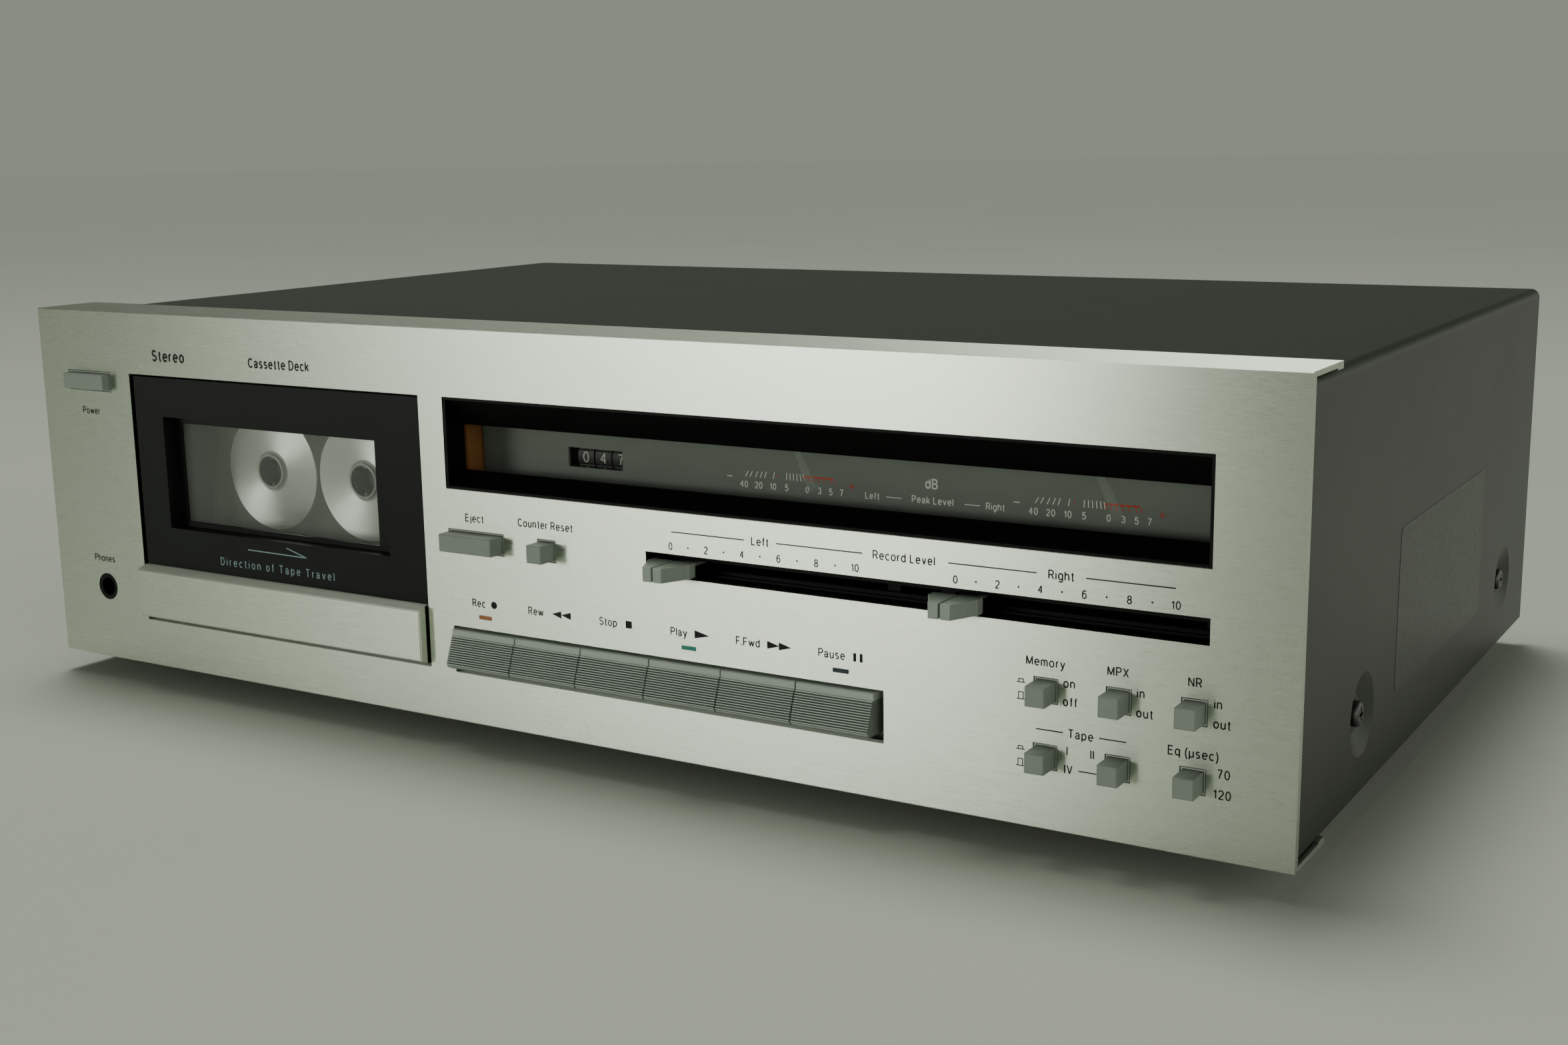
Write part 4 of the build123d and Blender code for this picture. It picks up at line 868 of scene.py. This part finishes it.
# ------------------------------------------------------------------ small added pieces
def rounded_plate(name, x, y0, y1, z0, z1, radius, thickness, material):
    """A thin plate with round corners on a side face, facing +x."""
    mesh = bmesh.new()
    outline = []
    for cy, cz, start in ((y1 - radius, z1 - radius, 0), (y0 + radius, z1 - radius, 90),
                          (y0 + radius, z0 + radius, 180), (y1 - radius, z0 + radius, 270)):
        for turn in range(0, 91, 15):
            angle = math.radians(start + turn)
            outline.append((cy + radius * math.cos(angle), cz + radius * math.sin(angle)))
    prism(mesh, [spot(x + thickness, y, z) for y, z in outline],
          [spot(x, y, z) for y, z in outline])
    bmesh.ops.recalc_face_normals(mesh, faces=mesh.faces)
    piece(name, mesh, material, "chassis")


# ------------------------------------------------------------------ floor, light and camera
FLOOR_RADIUS = 12.0
FLOOR_TONE = (0.49, 0.51, 0.455)
HORIZON = (0.253, 0.280, 0.229)
ZENITH = (0.06, 0.066, 0.055)
LIGHT_TONE = (0.965, 1.0, 0.915)
# where the sky and its two glows change: parts of the unit direction, and degrees to the left
SKY_RISE = (0.06, 0.22)
WINDOW_GLOW = 15.2
WINDOW_RIGHT_EDGE = (18.0, 27.0)
WINDOW_LEFT_EDGE = (28.0, 51.0)
WINDOW_TOP = (0.08, 0.30)
SIDE_GLOW = 0.9
SIDE_ACROSS = (0.1, 0.8)
SIDE_TOP = (0.3, 0.8)
CAMERA_SPOT = (351.6, -442.7, 179.6)
CAMERA_LENS = 44.27
CAMERA_RIGHT = Vector((0.85440, 0.51938, -0.01547))
CAMERA_UP = Vector((-0.08996, 0.17718, 0.98006))
CAMERA_BACK = Vector((0.51176, -0.83597, 0.19811))


def stage():
    """A wide pale floor under a sky that is as bright at its horizon as the floor is far away."""
    mesh = bmesh.new()
    bmesh.ops.create_circle(mesh, cap_ends=True, segments=96, radius=FLOOR_RADIUS)
    data = bpy.data.meshes.new("floor")
    mesh.to_mesh(data)
    mesh.free()
    s = Shader("floor_paper", Roughness=0.9, Specular_IOR_Level=0.1)
    mottle = s.noise(s.place(), 3.0, 3.0)
    s.drive("Base Color",
            s.mix(s.span(mottle, 0, 1), tone(FLOOR_TONE, 0.98), tone(FLOOR_TONE, 1.02)))
    data.materials.append(s.material)
    floor = bpy.data.objects.new("floor", data)
    bpy.context.scene.collection.objects.link(floor)
    studio()


def studio():
    """A soft sky with a wide bright window to the front left and a dimmer one to the right."""
    world = bpy.data.worlds.new("studio")
    bpy.context.scene.world = world
    world.use_nodes = True
    tree = world.node_tree

    def math_node(operation, *values):
        node = tree.nodes.new("ShaderNodeMath")
        node.operation = operation
        for socket, value in zip(node.inputs, values):
            if isinstance(value, (int, float)):
                socket.default_value = value
            else:
                tree.links.new(value, socket)
        return node.outputs["Value"]

    def ease(value, low, high, start, end):
        node = tree.nodes.new("ShaderNodeMapRange")
        node.interpolation_type = "SMOOTHSTEP"
        tree.links.new(value, node.inputs["Value"])
        for key, number in zip(RANGE_ENDS, (start, end, low, high)):
            node.inputs[key].default_value = number
        return node.outputs["Result"]

    direction = tree.nodes.new("ShaderNodeTexCoord")
    parts = tree.nodes.new("ShaderNodeSeparateXYZ")
    tree.links.new(direction.outputs["Generated"], parts.inputs["Vector"])
    x, y, z = (parts.outputs[axis] for axis in "XYZ")
    sky = tree.nodes.new("ShaderNodeMix")
    sky.data_type = "RGBA"
    sky.inputs[6].default_value = (*HORIZON, 1.0)
    sky.inputs[7].default_value = (*ZENITH, 1.0)
    tree.links.new(ease(z, 0.0, 1.0, *SKY_RISE), sky.inputs[0])
    leftward = math_node("ARCTAN2", math_node("MULTIPLY", x, -1.0), math_node("MULTIPLY", y, -1.0))
    azimuth = math_node("MULTIPLY", leftward, 180.0 / math.pi)
    right_edge = ease(azimuth, 0.0, 1.0, *WINDOW_RIGHT_EDGE)
    left_edge = ease(azimuth, 1.0, 0.0, *WINDOW_LEFT_EDGE)
    height = ease(z, 1.0, 0.0, *WINDOW_TOP)
    window = math_node("MULTIPLY", math_node("MULTIPLY", right_edge, left_edge), height)
    side = math_node("MULTIPLY", ease(x, 0.0, 1.0, *SIDE_ACROSS), ease(z, 1.0, 0.0, *SIDE_TOP))
    glow = math_node("ADD", math_node("MULTIPLY", window, WINDOW_GLOW),
                     math_node("MULTIPLY", side, SIDE_GLOW))
    lit = tree.nodes.new("ShaderNodeMix")
    lit.data_type = "RGBA"
    lit.blend_type = "ADD"
    lit.inputs[0].default_value = 1.0
    tint = tree.nodes.new("ShaderNodeCombineXYZ")
    for socket, share in zip(tint.inputs, LIGHT_TONE):
        tree.links.new(math_node("MULTIPLY", glow, share), socket)
    tree.links.new(sky.outputs[2], lit.inputs[6])
    tree.links.new(tint.outputs["Vector"], lit.inputs[7])
    tree.links.new(lit.outputs[2], tree.nodes["Background"].inputs["Color"])


def sun(name, azimuth, elevation, spread, strength):
    """A distant soft light; azimuth runs from the viewer's side (-y) towards the left (-x)."""
    lamp = bpy.data.lights.new(name, "SUN")
    lamp.angle = math.radians(spread)
    lamp.energy = strength
    lamp.color = LIGHT_TONE
    item = bpy.data.objects.new(name, lamp)
    level = math.cos(math.radians(elevation))
    towards = Vector((-math.sin(math.radians(azimuth)) * level,
                      -math.cos(math.radians(azimuth)) * level,
                      math.sin(math.radians(elevation))))
    item.rotation_euler = (-towards).to_track_quat("-Z", "Y").to_euler()
    bpy.context.scene.collection.objects.link(item)


def softbox(name, place, target, size, radiance):
    """A rectangular light of a given brightness, hidden from the camera itself."""
    lamp = bpy.data.lights.new(name, "AREA")
    lamp.shape = "RECTANGLE"
    lamp.size, lamp.size_y = size
    lamp.energy = radiance * math.pi * size[0] * size[1]
    lamp.color = LIGHT_TONE
    item = bpy.data.objects.new(name, lamp)
    item.location = place
    item.rotation_euler = (Vector(target) - Vector(place)).to_track_quat("-Z", "Y").to_euler()
    item.visible_camera = False
    bpy.context.scene.collection.objects.link(item)


def lights():
    """Two soft lights from above, both to the left of the deck and behind its front."""
    sun("overhead", azimuth=129, elevation=73, spread=24, strength=1.12)
    softbox("near_overhead", place=(-0.22, 0.22, 1.9), target=(0, -0.1, 0.07), size=(0.9, 0.8),
            radiance=5.6)


def camera():
    """The camera solved from the photograph."""
    data = bpy.data.cameras.new("camera")
    data.lens = CAMERA_LENS
    data.sensor_width = 36.0
    data.clip_start = 0.01
    item = bpy.data.objects.new("camera", data)
    turn = Matrix((CAMERA_RIGHT, CAMERA_UP, CAMERA_BACK)).transposed().to_4x4()
    item.matrix_world = Matrix.Translation(spot(*CAMERA_SPOT)) @ turn
    bpy.context.scene.collection.objects.link(item)
    bpy.context.scene.camera = item


finish_nodes()
see_through()
panel_lettering()
door_marks()
scale_marks()
counter_digits()
rounded_plate("side_label", x=223.8, y0=96.0, y1=204.0, z0=20.8, z1=69.0, radius=3.0,
              thickness=0.08, material=paper_label("side_label_paper"))
stage()
lights()
camera()
